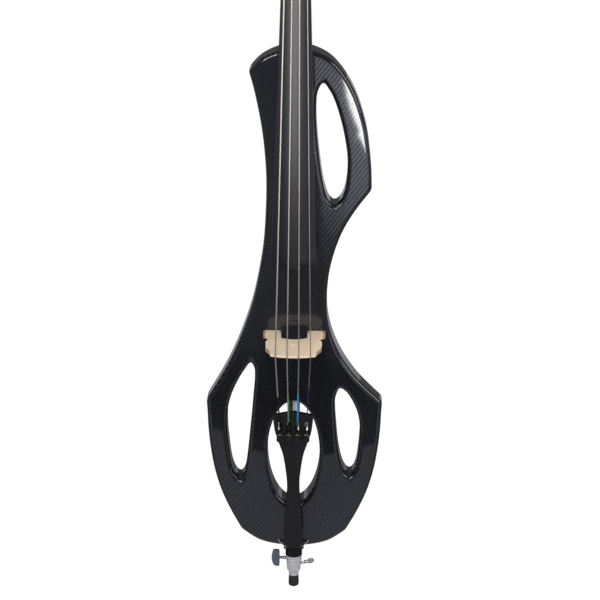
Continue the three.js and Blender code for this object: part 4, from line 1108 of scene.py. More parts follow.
def rear_cutters():
    """Recess of the cover and its door, the bay under them, the bolts and the screw holes."""
    plate_low, plate_high = (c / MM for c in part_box("control_plate"))
    door_low, _ = (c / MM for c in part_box("battery_door"))
    half = plate_high.x
    cutters = [
        box_solid((-half - FIT, plate_low.y - FIT, door_low.z - 2.5),
                  (half + FIT, DEEP, plate_high.z + FIT)),
        box_solid((-half + 5, 0, door_low.z + 4.7), (half - 5, DEEP, plate_high.z - 5)),
    ]
    for z in BOLT_HEIGHTS:
        cutters.append(round_solid(3.3, (0, -10, z), (0, DEEP, z), 32))
        cutters.append(round_solid(6.3, (0, BODY_BACK - 7.5, z), (0, DEEP, z), 48))
    for i in range(1, 5):
        x, _, z = sum(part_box(f"cover_screw_{i}"), Vector()) / 2 / MM
        cutters.append(round_solid(1.6, (x, 11.7, z), (x, DEEP, z), 24))
    return cutters


def pickup_cutters():
    fit = Vector((FIT, FIT, FIT))
    boxes = [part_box(f"pickup_{side}") for side in ("bass", "treble")]
    pairs = [(low / MM - fit, high / MM + fit) for low, high in boxes]
    return [box_solid((low.x, -DEEP, low.z), high) for low, high in pairs]


# %% Normals of the body
SLOPE_STEP, EDGE_BAND, SKIN_GAP = 0.05, 0.06, 0.35
RIM_MATCH, SKIN_MATCH = 0.45, 0.75


def skin_normals(flat, distance):
    """For the front and then the back: the depth at each point and the way out of it."""
    slopes = []
    for move in ((SLOPE_STEP, 0), (0, SLOPE_STEP)):
        ahead, behind = body_depths(flat + move), body_depths(flat - move)
        slopes.append([(p - q) / (2 * SLOPE_STEP) for p, q in zip(ahead, behind)])
    skins = []
    for side, (depth, sign) in enumerate(zip(body_depths(flat, distance), (-1.0, 1.0))):
        normal = np.stack([-sign * slopes[0][side], np.full(len(flat), sign),
                           -sign * slopes[1][side]], axis=1)
        skins.append((depth, normal / np.linalg.norm(normal, axis=1)[:, None]))
    return skins


def formula_normals(mesh):
    """Split normals: from the surface's formula on the skin, from the face in the cuts."""
    co = np.zeros(len(mesh.vertices) * 3)
    mesh.vertices.foreach_get("co", co)
    co = co.reshape(-1, 3) / MM
    flat = co[:, [0, 2]]
    distance, away = EDGES.near(flat)
    skins = skin_normals(flat, distance)
    on_edge = distance < EDGE_BAND
    outward = np.stack([-away[:, 0], np.zeros(len(co)), -away[:, 1]], axis=1)
    loops = np.zeros(len(mesh.loops), int)
    mesh.loops.foreach_get("vertex_index", loops)
    normals = np.zeros((len(mesh.loops), 3))
    for polygon in mesh.polygons:
        face = np.array(polygon.normal)
        rows = np.arange(polygon.loop_start, polygon.loop_start + polygon.loop_total)
        corner = loops[rows]
        depth, skin = skins[0 if face[1] < 0 else 1]
        near_skin = np.abs(co[corner, 1] - depth[corner]) < SKIN_GAP
        edge, out = on_edge[corner], outward[corner] @ face
        on_skin = near_skin & ((skin[corner] @ face) > SKIN_MATCH) & ~edge
        on_wall = edge & (out > RIM_MATCH)
        normals[rows] = face
        normals[rows[on_skin]] = skin[corner[on_skin]]
        normals[rows[on_wall]] = outward[corner[on_wall]]
    mesh.shade_smooth()
    mesh.normals_split_custom_set(normals)


def make_body():
    points, faces = slab_mesh()
    slab = bpy.data.meshes.new("slab")
    slab.from_pydata([tuple(p) for p in points], [], faces)
    mesh = cut_mesh(slab, front_cutters() + rear_cutters() + pickup_cutters())
    mesh.name = "body_shell"
    paint(mesh, "body")
    formula_normals(mesh)
    attach(add_object("body_shell", mesh), SLOT_OF["body"], BODY_OF["body"], "body")
    print("body:", len(mesh.polygons), "faces")


make_body()

# %% [markdown]
# ## Shapes that the other pieces are made of
# Nearly all of them are one of four kinds: a turned shape, a row of sections, a tube along a path,
# or a flat plate with holes and rounded edges. Each is written in its own simple frame, lying along
# Z or facing -Y, and a matrix takes it to its place. Corners are rounded before anything is made.

# %% Frames
TAIL_LENGTH, TAIL_PITCH = math.hypot(42, 228), math.atan2(42, 228)
NECK = Matrix.Translation((0, -113, 400.5)) @ Matrix.Rotation(math.radians(-9), 4, "X")
TAIL = Matrix.Translation((0, -43, 79)) @ Matrix.Rotation(TAIL_PITCH, 4, "X")
HEAD = Matrix.Translation((0, 9.172, 696.5)) @ Matrix.Rotation(math.radians(-12), 4, "X")
ALONG_Y = Matrix.Rotation(math.radians(-90), 4, "X")
ALONG_X = Matrix.Rotation(math.radians(90), 4, "Y")
AGAINST_X = Matrix.Rotation(math.radians(-90), 4, "Y")
SIDEWAYS = Matrix.Rotation(math.radians(90), 4, "Z")
STILL = Matrix.Identity(4)


def shift(x, y, z):
    return Matrix.Translation((x, y, z))


# %% Turned shapes, lofts and tubes
def rounded(path, radius, steps=4, closed=False):
    """The path with its corners replaced by short curves."""
    path = [Vector(p) for p in path]
    out = []
    for i, corner in enumerate(path):
        if not closed and i in (0, len(path) - 1):
            out.append(corner)
            continue
        before, after = path[i - 1] - corner, path[(i + 1) % len(path)] - corner
        reach = min(radius, before.length * 0.48, after.length * 0.48)
        a, b = corner + before.normalized() * reach, corner + after.normalized() * reach
        for t in (k / steps for k in range(steps + 1)):
            out.append(a * (1 - t) ** 2 + corner * (2 * t * (1 - t)) + b * t ** 2)
    return out


def turned(profile, radius=0.4, sides=48, place=STILL):
    """A profile of (radius, height) turned about Z. It starts on the axis, or else is a ring."""
    ring = profile[0][0] > 0
    rows = rounded(profile, radius, 3, closed=ring)
    points = [place @ Vector((r * math.cos(t), r * math.sin(t), z))
              for r, z in rows for t in around(sides)]
    faces = []
    for i in range(len(rows) if ring else len(rows) - 1):
        faces += band(i * sides, (i + 1) % len(rows) * sides, sides)
    return points, faces


def lofted(sections, place=STILL):
    """A skin over sections that have as many points, closed at both ends."""
    count = len(sections[0])
    points = [place @ Vector(p) for section in sections for p in section]
    faces = [tuple(range(count)), tuple(range(len(points) - count, len(points)))]
    for i in range(len(sections) - 1):
        faces += band(i * count, (i + 1) * count, count)
    return points, faces


def tube(path, radius, sides=16, place=STILL):
    """A round rod along a path; radius is a number or one for each point."""
    path = [Vector(p) for p in path]
    radii = radius if isinstance(radius, list) else [radius] * len(path)
    side = Vector((1.0, 0.02, 0.01))
    sections = []
    for i, (point, r) in enumerate(zip(path, radii)):
        forward = (path[min(i + 1, len(path) - 1)] - path[max(i - 1, 0)]).normalized()
        side = (side - forward * side.dot(forward)).normalized()
        other = forward.cross(side)
        sections.append([point + (side * math.cos(t) + other * math.sin(t)) * r
                         for t in around(sides)])
    return lofted(sections, place)


print("turned shapes, lofts and tubes ready")


# %% Plates and outlines for them
def plate(loops, front, back, rim, place=STILL, steps=3):
    """A plate in X and Z with holes and rounded edges, between two depths along Y."""
    depths = [d if callable(d) else (lambda x, z, d=d: d) for d in (front, back)]
    turns = [math.pi / 2 * k / steps for k in range(steps + 1)]
    rows = [(rim * (1 - math.cos(t)), rim * (1 - math.sin(t))) for t in turns]
    rows.append((rim * 1.2, 0.0))
    points, faces, caps = [], [], []
    for loop in facing(loops):
        inward, count, starts = loop_inward(loop), len(loop), {}
        for side, (depth, sign) in enumerate(zip(depths, (1, -1))):
            for row, (inset, drop) in enumerate(rows):
                starts[side, row] = len(points)
                for x, z in loop + inward * inset:
                    points.append((x, depth(x, z) + sign * drop, z))
        order = [(0, r) for r in reversed(range(len(rows)))] + [(1, r) for r in range(len(rows))]
        for a, b in zip(order, order[1:]):
            faces += band(starts[a], starts[b], count)
        caps.append((loop + inward * rows[-1][0], starts))
    inner = [loop for loop, _ in caps]
    made = delaunay_2d_cdt([Vector(p) for p in np.vstack(inner)], loop_edges(inner), [], 0, 1e-6)
    middles = np.array([np.mean([made[0][v] for v in face], axis=0) for face in made[2]])
    kept = inside_loops(middles, inner)
    for side in (0, 1):
        where = [s[side, len(rows) - 1] + k for loop, s in caps for k in range(len(loop))]
        for face, keep in zip(made[2], kept):
            if keep:
                faces.append(tuple(where[made[3][v][0]] for v in face))
    return [place @ Vector(p) for p in points], faces


def ellipse(x, z, wide, tall, count=40):
    return [(x + wide * math.cos(t), z + tall * math.sin(t)) for t in around(count)]


def oblong(x0, x1, z0, z1, radius, steps=4):
    return rounded([(x0, z0), (x1, z0), (x1, z1), (x0, z1)], radius, steps, closed=True)


def together(*shapes):
    points, faces = [], []
    for more_points, more_faces in shapes:
        faces += [tuple(v + len(points) for v in face) for face in more_faces]
        points += more_points
    return points, faces


# %% Solids kept as they are, with softened edges
def softened(node, width, segments=2, angle=30.0, cutters=(), finish=None):
    """A solid with its coplanar triangles merged, extra cuts made and its edges rounded."""
    mesh = frame["nodes"][node].data.copy()
    if cutters:
        mesh = cut_mesh(mesh, cutters)
    weld(mesh, merge_flat=True)
    shade(mesh, angle)
    holder = add_object("holder", mesh)
    bevel = holder.modifiers.new("soft_edges", "BEVEL")
    bevel.width, bevel.segments = width * MM, segments
    bevel.limit_method, bevel.angle_limit = "ANGLE", math.radians(angle)
    bevel.harden_normals = True
    mesh = taken_over(holder)
    paint(mesh, finish or SLOT_OF[node])
    attach(add_object(f"soft_{node}", mesh), SLOT_OF[node], BODY_OF[node], node)


print("shape helpers ready")

# %% [markdown]
# ## Geometry that repeats
# String windings and knurls are the same small thing many times over, so they are grown by Geometry
# Nodes. Each tree is built here, takes its sizes by name, and leaves plain mesh behind.


# %% Geometry Nodes trees
class Growth(Nodes):
    """A tree that makes a mesh from named sizes and gives it a finish."""

    def __init__(self, name, sizes):
        super().__init__(bpy.data.node_groups.new(name, "GeometryNodeTree"))
        socket = self.tree.interface.new_socket
        socket("Geometry", in_out="OUTPUT", socket_type="NodeSocketGeometry")
        socket("Finish", in_out="INPUT", socket_type="NodeSocketMaterial")
        for label, kind in sizes.items():
            socket(label, in_out="INPUT", socket_type=f"NodeSocket{kind}")
        self.given = self.node("NodeGroupInput").outputs

    def finish(self, geometry):
        real = self.node("GeometryNodeRealizeInstances", {}, {0: geometry})
        smooth = self.node("GeometryNodeSetShadeSmooth", {}, {0: real.outputs[0]})
        painted = self.node("GeometryNodeSetMaterial", {}, {
            "Geometry": smooth.outputs[0], "Material": self.given["Finish"]})
        self.node("NodeGroupOutput", {}, {0: painted.outputs[0]})
        return self.tree


def coil_tree():
    """A wire wound round Z."""
    coil = Growth("coil", dict.fromkeys(("Turns", "Radius", "Length", "Wire"), "Float"))
    given = coil.given
    spiral = coil.node("GeometryNodeCurveSpiral", {}, {
        "Resolution": 20, "Rotations": given["Turns"], "Start Radius": given["Radius"],
        "End Radius": given["Radius"], "Height": given["Length"]})
    wire = coil.node("GeometryNodeCurvePrimitiveCircle", {}, {
        "Resolution": 8, "Radius": given["Wire"]})
    swept = coil.node("GeometryNodeCurveToMesh", {}, {
        "Curve": spiral.outputs[0], "Profile Curve": wire.outputs[0], "Fill Caps": True})
    return coil.finish(swept.outputs[0])


def knurl_tree():
    """Upright ribs in a ring round Z."""
    knurl = Growth("knurl", {"Ribs": "Int", "Radius": "Float", "Rib": "Vector"})
    ring = knurl.node("GeometryNodeMeshCircle", {}, {
        "Vertices": knurl.given["Ribs"], "Radius": knurl.given["Radius"]})
    rib = knurl.node("GeometryNodeMeshCube", {}, {"Size": knurl.given["Rib"]})
    place = knurl.node("GeometryNodeInputPosition")
    outward = knurl.node("FunctionNodeAlignRotationToVector", {"axis": "X"}, {
        "Vector": place.outputs[0]})
    ribs = knurl.node("GeometryNodeInstanceOnPoints", {}, {
        "Points": ring.outputs[0], "Instance": rib.outputs[0], "Rotation": outward.outputs[0]})
    return knurl.finish(ribs.outputs[0])


# %% Growing a piece
TREES = {"coil": coil_tree(), "knurl": knurl_tree()}


def grown(name, tree, slot, place, body=ROOT, **sizes):
    """The mesh that a tree makes from the named sizes, moved by place; lengths in millimetres."""
    holder = add_object("holder", bpy.data.meshes.new("holder"))
    step = holder.modifiers.new("grow", "NODES")
    step.node_group = TREES[tree]
    given = {"Finish": FINISHES[slot], **{key.title(): value for key, value in sizes.items()}}
    for item in TREES[tree].interface.items_tree:
        if item.in_out == "INPUT":
            step[item.identifier] = given[item.name]
    mesh = taken_over(holder)
    mesh.transform(Matrix.Scale(MM, 4) @ place)
    attach(add_object(name, mesh), slot, body)


print("growing trees:", list(TREES))

# %% [markdown]
# ## Fingerboard, neck, head and pegs
# The fingerboard is a long wedge of dark wood whose top is part of a cylinder, so it is lofted
# through sections that change in width and thickness on the way to the nut, and its ends are
# rounded by sections that shrink. The neck with its head and the nut keep the shape of their
# solids. Merging their coplanar triangles and bevelling the edges that are left is enough there.

# %% Sizes above the bridge, in millimetres
BOARD_START, BOARD_LENGTH, STRING_LENGTH, CROWN = 123.0, 566.7, 690.0, 86.0
NUT_WIDTH = 7.2
STRING_RADII = {"C": 1.0, "G": 0.85, "D": 0.75, "A": 0.65}
SILK_DEPTHS = {"C": 0.05, "G": 0.3, "D": 0.35, "A": 0.1}
PEG_AT = {"C": 22.0, "G": 74.0, "D": 100.0, "A": 48.0}
PEG_SIDE = {"C": -1, "G": -1, "D": 1, "A": 1}
NAMES = list(STRING_RADII)


def along_board(at_end, at_nut, distance):
    return at_end + (at_nut - at_end) * (distance - BOARD_START) / BOARD_LENGTH


def crown_fall(x):
    return CROWN - math.sqrt(CROWN ** 2 - x ** 2)


def peg_place(name):
    depth = (32 + (25 - 32) * PEG_AT[name] / 118) / 2
    return HEAD @ Vector((0, depth, PEG_AT[name]))


# %% Fingerboard
def board_section(distance, shrink):
    half = along_board(31.8, 15.3, distance) - shrink
    top = along_board(6.3, 1.0, distance) + shrink
    under = along_board(6.3 + crown_fall(31.8), 1.0 + crown_fall(15.3), distance) + 6.5 - shrink
    crown = [(half * k / 12, top + crown_fall(half * k / 12)) for k in range(-12, 13)]
    outline = rounded([(-half, under), *crown, (half, under)], 1.1, 3, closed=True)
    return [(x, y, distance) for x, y in outline]


def make_fingerboard():
    end = BOARD_START + BOARD_LENGTH
    rows = [(BOARD_START, 0.9), (BOARD_START + 0.3, 0.35), (BOARD_START + 0.9, 0.0)]
    rows += [(BOARD_START + BOARD_LENGTH * k / 24, 0.0) for k in range(1, 24)]
    rows += [(end - 0.5, 0.0), (end, 0.4)]
    shape = lofted([board_section(*row) for row in rows], NECK)
    make_piece("playing_board", shape, node="fingerboard", smooth=30.0)


make_fingerboard()
softened("neck", 1.1, 3)
softened("nut", 0.6)
print("fingerboard, neck and nut")

# %% [markdown]
# A peg is a tapered shaft with a flat oval head and a bead at its end. A lathe makes the real
# shaft, so a turned profile makes it here too. Five turns of silk are grown round it by the coil
# tree. Shaft, head, winding and the small gold ring all ride on the peg's body and turn with it.

# %% Pegs and the strings wound on them
def make_peg(name):
    side, body = PEG_SIDE[name], BODY_OF[f"peg_{name}"]
    place = NECK @ shift(*peg_place(name)) @ Matrix.Rotation(math.radians(90 * side), 4, "Y")
    shaft = turned([(0, -17.2), (5.9, -17.2), (6.6, 18.2), (9, 18.2), (9, 22.2), (6.4, 23.2),
                    (5.9, 26), (0, 26)], 0.7, 48, place)
    head = plate([ellipse(0, 37.2, 12, 15, 48)], -4.5, 4.5, 3.2, place, 5)
    bead = turned([(0, 50.6), (2.2, 50.6), (2.2, 52.1), (0, 52.1)], 0.7, 24, place)
    make_piece(f"peg_turner_{name}", together(shaft, head, bead), node=f"peg_{name}")
    radius = STRING_RADII[name]
    grown(f"peg_winding_{name}", "coil", f"silk_{name}", place @ shift(0, 0, 4 - radius * 10.4),
          body, turns=5.0, radius=6.6 + radius, length=radius * 10.4, wire=radius)
    ring = turned([(5.6, 26.4), (6.6, 26.4), (6.6, 27.6), (5.6, 27.6)], 0.3, 32, place)
    make_piece(f"peg_ring_{name}", ring, "tuner_bush", body)


for name in NAMES:
    make_peg(name)
print(len(NAMES), "pegs")

# %% [markdown]
# ## Strings
# A string runs straight from the nut to the bridge and from there to its fine tuner. Both ends are
# wrapped in silk of the string's own colour, and a small brass ball holds it under the tuner.
# Tubes along a path suit all of them; the silk is a wider tube over the same path, so that it
# starts with a small step as real silk does.

# %% Strings
SILK_STARTS, SILK_END = {"C": 0.56, "G": 0.535, "D": 0.51, "A": 0.42}, 0.927
NUT_SPREAD, BRIDGE_SPREAD, TUNER_SPACING, TUNER_AT = 25.2, 49.0, 12.6, 192


def tuner_x(name):
    return (NAMES.index(name) - 1.5) * TUNER_SPACING


def make_string(name):
    radius, share = STRING_RADII[name], (NAMES.index(name) - 1.5) / 3
    lift, wrapped = radius + 0.3, radius + SILK_DEPTHS[name]
    bridge_x, nut_x, peg = share * BRIDGE_SPREAD, share * NUT_SPREAD, peg_place(name)
    peg_point = NECK @ Vector((PEG_SIDE[name] * 4, peg.y - 6.65 - 2 * radius - wrapped, peg.z))
    nut = [NECK @ Vector((nut_x, crown_fall(nut_x) - lift, STRING_LENGTH + past))
           for past in (NUT_WIDTH, 0.0)]
    crest = [NECK @ Vector((bridge_x, crown_fall(bridge_x) - lift, z)) for z in (1.6, -1.6)]
    hook = TAIL @ Vector((tuner_x(name), -2.6 + radius, 208.55))
    after = [crest[1].lerp(hook, t) for t in (
        SILK_STARTS[name], SILK_STARTS[name] + 0.01, SILK_END - 0.01, SILK_END, 1.0)]
    speaking = rounded([peg_point, *nut, *crest, after[0]], 2.5, 4)
    make_piece(f"string_wire_{name}", tube(speaking, radius, 14), node=f"string_{name}")
    silk = tube(after[:4], [radius, wrapped, wrapped, radius * 0.5], 16)
    make_piece(f"string_silk_{name}", silk, f"silk_{name}")
    make_piece(f"string_core_{name}", tube(after[3:], radius * 0.5, 10), "tuner_screw")
    upper = [nut[0].lerp(peg_point, 0.12), nut[0].lerp(peg_point, 0.15), peg_point]
    upper_silk = tube(upper, [radius, wrapped, wrapped], 16)
    make_piece(f"string_silk_upper_{name}", upper_silk, f"silk_{name}")
    ball = tube([hook, hook.lerp(crest[1], -0.012)], 0.6, 10)
    make_piece(f"string_end_{name}", ball, "tuner_bush")


for name in NAMES:
    make_string(name)
print(len(NAMES), "strings")

# %% [markdown]
# ## Bridge and pickups
# The bridge is one plate of maple that thins towards its crown, with feet, side hooks, kidneys and
# a heart. It is cut from a board and carved, so one outline with three holes describes it, and the
# depth of its rear face is a function of the height. It stands out from the body, so the camera
# looks down on its upper face. The pickups under its feet only need soft edges.

# %% Bridge
def make_bridge():
    half = [(18.7, 0), (44.2, 0), (44.2, 7), (38.75, 9.3), (37, 15), (37, 33), (40.2, 40),
            (37.2, 44), (39.2, 47), (39.2, 64), (33, 76)]
    crown = [(31.5 * k / 10, 90 - crown_fall(31.5 * k / 10)) for k in range(10, -11, -1)]
    arch = [(18.7 * k / 8, 31.5 - 5.5 * (k / 8) ** 2) for k in range(-8, 9)]
    sharp = [*half, *crown, *[(-x, h) for x, h in reversed(half)], *arch]
    outline = evenly(np.array([tuple(p) for p in rounded(sharp, 1.2, 3, closed=True)]), 0.9, True)
    heart = [(8 * math.cos(t), 54.5 + 5.5 * (math.sin(t) - abs(math.cos(t)) / 3))
             for t in np.linspace(0, 2 * math.pi, 40, endpoint=False)]
    kidneys = [ellipse(side * 21.5, 45, 5, 2.6, 32) for side in (-1, 1)]
    place = shift(0, -23.3, 398.9) @ Matrix.Rotation(math.radians(90), 4, "X")
    shape = plate([outline, heart, *kidneys], 0.0, lambda x, h: 10 - 6.8 * h / 90, 0.55, place)
    make_piece("bridge_plate", shape, node="bridge", smooth=40.0)


make_bridge()
softened("pickup_bass", 0.3)
softened("pickup_treble", 0.3)
print("bridge and two pickups")

# %% [markdown]
# ## Tailpiece and fine tuners
# The tailpiece is a thin plate with a waist, narrow at its cord and wide at the strings. One half
# of its outline is written and the other mirrored, and its rim is rounded like the polished edge of
# a real one. The slots for the tuner levers are holes in the outline. The round holes under the
# thumb screws and those for the cord are cut afterwards, which keeps their edges crisp.

# %% Tailpiece
TAIL_SIDE = [[0.3, 0.003], [0.42, 0.035], [0.47, 0.09], [0.42, 0.215], [0.364, 0.336],
             [0.3, 0.47], [0.374, 0.586], [0.503, 0.694], [0.71, 0.784], [0.885, 0.862],
             [0.98, 0.974]]


def make_tailpiece():
    side = catmull([(x * 29.4, z * TAIL_LENGTH) for x, z in TAIL_SIDE], 90, False)
    other = [(-x, z) for x, z in side[::-1]]
    sharp = [*[tuple(p) for p in side], (0, TAIL_LENGTH), *other, (0, 0)]
    outline = evenly(np.array([tuple(p) for p in rounded(sharp, 2.2, 3, closed=True)]), 1.6, True)
    slots = [oblong(tuner_x(n) - 2.5, tuner_x(n) + 2.5, 199.5, 215, 1.6) for n in NAMES]
    holes = [round_solid(4.2, TAIL @ Vector((tuner_x(n), -10, TUNER_AT)),
                         TAIL @ Vector((tuner_x(n), 20, TUNER_AT)), 40) for n in NAMES]
    holes += [round_solid(1.4, TAIL @ Vector((x, 4, -10)), TAIL @ Vector((x, 4, 18)), 20)
              for x in (-6.2, 6.2)]
    shape = plate([outline, *slots], 0.0, 8.0, 1.3, TAIL, 4)
    make_piece("tail_plate", shape, node="tailpiece", cutters=holes)


make_tailpiece()
print("tailpiece")

# %% [markdown]
# Each fine tuner is a gold bush, a knurled thumb screw and a bent lever with a hook for the string.
# Bush and screw are turned, the ribs of the screw's head are grown by the knurl tree, and the lever
# is a flat plate seen from its side. Two thin cheeks line the slot that the lever moves in.

# %% Fine tuners
def make_tuner(name):
    place = TAIL @ shift(tuner_x(name), 0, TUNER_AT) @ ALONG_Y
    bush = turned([(2.25, -3), (3.9, -3), (3.9, -1.9), (3.4, -1.6), (3.4, 0.2), (3.9, 0.5),
                   (3.9, 8), (2.25, 8)], 0.25, 40, place)
    make_piece(f"tuner_ring_{name}", bush, node=f"tuner_bush_{name}")
    screw = turned([(0, -9.85), (3.6, -9.85), (4.45, -9.4), (4.45, -5.1), (3.6, -4.3),
                    (3.1, -3.35), (1.9, -3.35), (1.9, 11), (0, 11)], 0.3, 48, place)
    make_piece(f"tuner_thumb_{name}", screw, node=f"tuner_screw_{name}")
    grown(f"tuner_knurl_{name}", "knurl", "tuner_screw", place @ shift(0, 0, -7.2),
          BODY_OF[f"tuner_screw_{name}"], ribs=28, radius=4.4, rib=(0.55, 0.5, 3.9))
    side = [(-2.6, 203.75), (-2.6, 208.25), (15.85, 208.25), (15.85, 188), (11.35, 188),
            (11.35, 203.75)]
    lever = plate([rounded(side, 0.9, 3, closed=True)], -1.9, 1.9, 0.5,
                  TAIL @ shift(tuner_x(name), 0, 0) @ SIDEWAYS)
    make_piece(f"tuner_arm_{name}", lever, node=f"tuner_lever_{name}")
    for side, word in ((-1, "left"), (1, "right")):
        cheek = plate([oblong(1.4, 7.6, 199.8, 214.7, 0.8)], -0.2, 0.2, 0.08,
                      TAIL @ shift(tuner_x(name) + side * 2.25, 0, 0) @ SIDEWAYS)
        make_piece(f"tuner_cheek_{name}_{word}", cheek, "tailpiece")


for name in NAMES:
    make_tuner(name)
print(len(NAMES), "fine tuners")

# %% [markdown]
# The tailgut is a cord that leaves the tailpiece, bends over the saddle and goes round the plug of
# the endpin. A tube swept along a path with rounded corners suits any cord. One half is written
# down and the other is its mirror image.

# %% Tailgut and saddle
def make_tailgut():
    reach, height, nose = 13.7, 64.3, -30.4
    strand = [TAIL @ Vector((6.2, 4, 17.7)), TAIL @ Vector((6.2, 4, -1.1)),
              (7.3, nose, 76.7), (8.4, -27.4, 73.1), (reach, -reach, 65.4)]
    loop = [(reach * math.cos(t), reach * math.sin(t), height)
            for t in np.linspace(0, math.pi, 13)]
    other = [(-x, y, z) for x, y, z in reversed(strand)]
    path = rounded([*strand, *loop, *other], 3.0, 5)
    make_piece("tail_cord", tube(path, 1.1, 16), node="tailgut")


make_tailgut()
softened("saddle", 0.9, 3, finish="saddle")
print("tailgut and saddle")

# %% [markdown]
# ## Endpin
# Nearly everything at the foot of the instrument comes from a lathe, so a profile of radius and
# height gives each piece in one call: plug, sleeve, collar, rod and rubber tip. The holes for the
# two screws are cut into the collar. The rod and its tip ride on the body that slides out.

# %% Endpin
WING_HEIGHT, CLAMP_HEIGHT, CLAMP_TILT = 44.5, 33.5, math.radians(-14)
WING_PLACE = shift(0, 0, WING_HEIGHT)
CLAMP_PLACE = shift(0, 0, CLAMP_HEIGHT) @ Matrix.Rotation(CLAMP_TILT, 4, "Y")


def make_endpin():
    plug = turned([(5.35, 50.1), (12.3, 50.1), (12.3, 54.2), (11.7, 54.8), (12.3, 55.4),
                   (12.3, 72.7), (11, 72.7), (11, 120), (5.35, 120)], 0.4, 64)
    make_piece("endpin_seat", plug, node="endpin_plug")
    sleeve = turned([(5.35, 120.6), (8, 120.6), (8, 318), (5.35, 318)], 0.5, 48)
    make_piece("endpin_tube", sleeve, node="endpin_sleeve")
    collar = turned([(5.35, 17.8), (7.3, 17.8), (7.3, 23.2), (8.6, 24.6), (9.8, 26.5),
                     (10.6, 38.2), (10.3, 38.6), (10.3, 39.2), (10.7, 39.6), (10.9, 40.8),
                     (11.6, 41.9), (11.6, 45.0), (11.2, 45.4), (11.2, 46.0), (11.6, 46.4),
                     (11.6, 49.8), (5.35, 49.8)], 0.3, 64)
    holes = [round_solid(2.35, (-40, 0, WING_HEIGHT), (0, 0, WING_HEIGHT), 24),
             round_solid(2.35, (0, 0, CLAMP_HEIGHT), CLAMP_PLACE @ Vector((40, 0, 0)), 24)]
    make_piece("endpin_clamp_ring", collar, node="endpin_collar", cutters=holes)
    rod = turned([(0, 4.8), (5, 4.8), (5, 425), (0, 425)], 0.8, 48)
    make_piece("endpin_shaft", rod, node="endpin_rod")
    tip = turned([(0, 0), (5, 0), (7.2, 1.67), (7.75, 5), (7.4, 12.6), (7.0, 13.1), (7.36, 13.6),
                  (7.1, 17.5), (5.3, 17.5), (5.3, 4.5), (0, 4.5)], 0.5, 48)
    make_piece("endpin_foot", tip, node="rubber_tip")


make_endpin()
print("endpin")

# %% [markdown]
# The wing screw is a flat paddle on a bright stem, and the clamp screw is a thin shaft with an oval
# head. Both lie across the collar. Their shafts are turned about Z like everything else, and the
# matrices of their places lay them down.

# %% Endpin screws
def make_endpin_screws():
    outline = [(-21 - 12 * out, 13 * up) for out, up in (
        (0.64, -1), (0.89, -0.55), (1, -0.1), (0.97, 0.3), (0.78, 1), (0, 0.95), (0, -1))]
    paddle = plate([rounded(outline, 3.0, 5, closed=True)], -3.5, 3.5, 1.5, WING_PLACE, 4)
    make_piece("wing_paddle", paddle, node="wing_screw")
    stem = turned([(0, 5.75), (2, 5.75), (2, 12.6), (2.9, 12.9), (2.9, 15.2), (2, 15.5),
                   (2, 22), (0, 22)], 0.3, 32, WING_PLACE @ AGAINST_X)
    make_piece("wing_stem", stem, "clamp_screw", BODY_OF["wing_screw"])
    head = plate([ellipse(25.25, 0, 5.75, 3.8, 40)], -1.5, 1.5, 0.9, CLAMP_PLACE, 4)
    shaft = turned([(0, 5.75), (2, 5.75), (2, 16.2), (2.7, 16.5), (2.7, 18.6), (2, 19), (2, 21.5),
                    (0, 21.5)], 0.3, 32, CLAMP_PLACE @ ALONG_X)
    make_piece("clamp_turner", together(shaft, head), node="clamp_screw")


make_endpin_screws()
print("two clamping screws")

# %% [markdown]
# ## Rear controls
# The back carries a flat cover, a battery door with a grip, two knobs and a jack. Plates with holes
# suit the cover and the door, which swings on a body of its own. The knobs are turned, their knurls
# are grown and a thin pointer lies on each. The parts inside, the bolts and the screws keep the
# shapes of their solids with softened edges; the crosses of the cover's screws are cut in first.

# %% Rear plate, door, knobs and jack
SCREW_PLACES = [(side * 28.3, z) for side in (-1, 1) for z in (485.0, 575.0)]
KNOB_SIDE, KNOB_HEIGHT, JACK_HEIGHT = 14, 553, 508
COVER_FACES = (21, 23)
SLOT_HALF, SLOT_REACH, SLOT_FLOOR, OUTSIDE = 0.35, 4, 23.7, 30


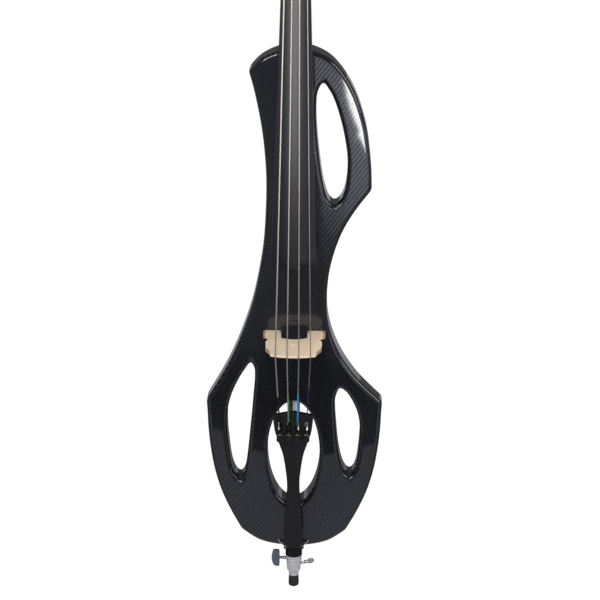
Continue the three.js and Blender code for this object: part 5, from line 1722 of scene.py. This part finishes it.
def make_rear():
    screws = [ellipse(x, z, 1.6, 1.6, 20) for x, z in SCREW_PLACES]
    shafts = [ellipse(side * KNOB_SIDE, KNOB_HEIGHT, 3.35, 3.35, 28) for side in (-1, 1)]
    holes = [*screws, *shafts, ellipse(0, JACK_HEIGHT, 5, 5, 36)]
    cover = plate([oblong(-31, 31, 480, 580, 2.0), *holes], *COVER_FACES, 0.45)
    make_piece("rear_cover", cover, node="control_plate")
    door = plate([oblong(-31, 31, 448, 479.7, 1.6)], *COVER_FACES, 0.45)
    grip = plate([oblong(-8, 8, 472.2, 476.2, 1.8)], 22.6, 23.5, 0.3)
    make_piece("rear_door", together(door, grip), node="battery_door")
    nut = turned([(5, 23.3), (7, 23.3), (7, 25.7), (5, 25.7)], 0.3, 6,
                 shift(0, 0, JACK_HEIGHT) @ ALONG_Y)
    make_piece("rear_jack_nut", nut, node="jack_nut", smooth=25.0)


def make_knob(name, side):
    middle, body = shift(side * KNOB_SIDE, 0, KNOB_HEIGHT), BODY_OF[f"{name}_knob"]
    place = middle @ ALONG_Y
    cap = turned([(0, 26.7), (3.35, 26.7), (3.35, 23.35), (9.4, 23.35), (9.4, 24.6), (8.9, 25),
                  (8.7, 31.6), (8.0, 32.35), (0, 32.35)], 0.35, 56, place)
    make_piece(f"{name}_cap", cap, node=f"{name}_knob")
    grown(f"{name}_knurl", "knurl", "knob", place @ shift(0, 0, 28.2), body,
          ribs=36, radius=8.75, rib=(0.5, 0.7, 6.0))
    line = plate([oblong(-0.5, 0.5, 2.2, 8.2, 0.3)], 32.2, 32.6, 0.1, middle)
    make_piece(f"{name}_pointer", line, "pointer", body)


make_rear()
make_knob("volume", -1)
make_knob("tone", 1)
for node, width in {"battery": 1.2, "preamp_board": 0.3, "volume_pot": 0.4, "tone_pot": 0.4,
                    "output_jack": 0.3, "neck_bolt_1": 0.35, "neck_bolt_2": 0.35}.items():
    softened(node, width)
for i, (x, z) in enumerate(SCREW_PLACES):
    cross = [box_solid((x - wide, SLOT_FLOOR, z - tall), (x + wide, OUTSIDE, z + tall))
             for wide, tall in ((SLOT_REACH, SLOT_HALF), (SLOT_HALF, SLOT_REACH))]
    softened(f"cover_screw_{i + 1}", 0.12, cutters=cross)
print("rear controls")
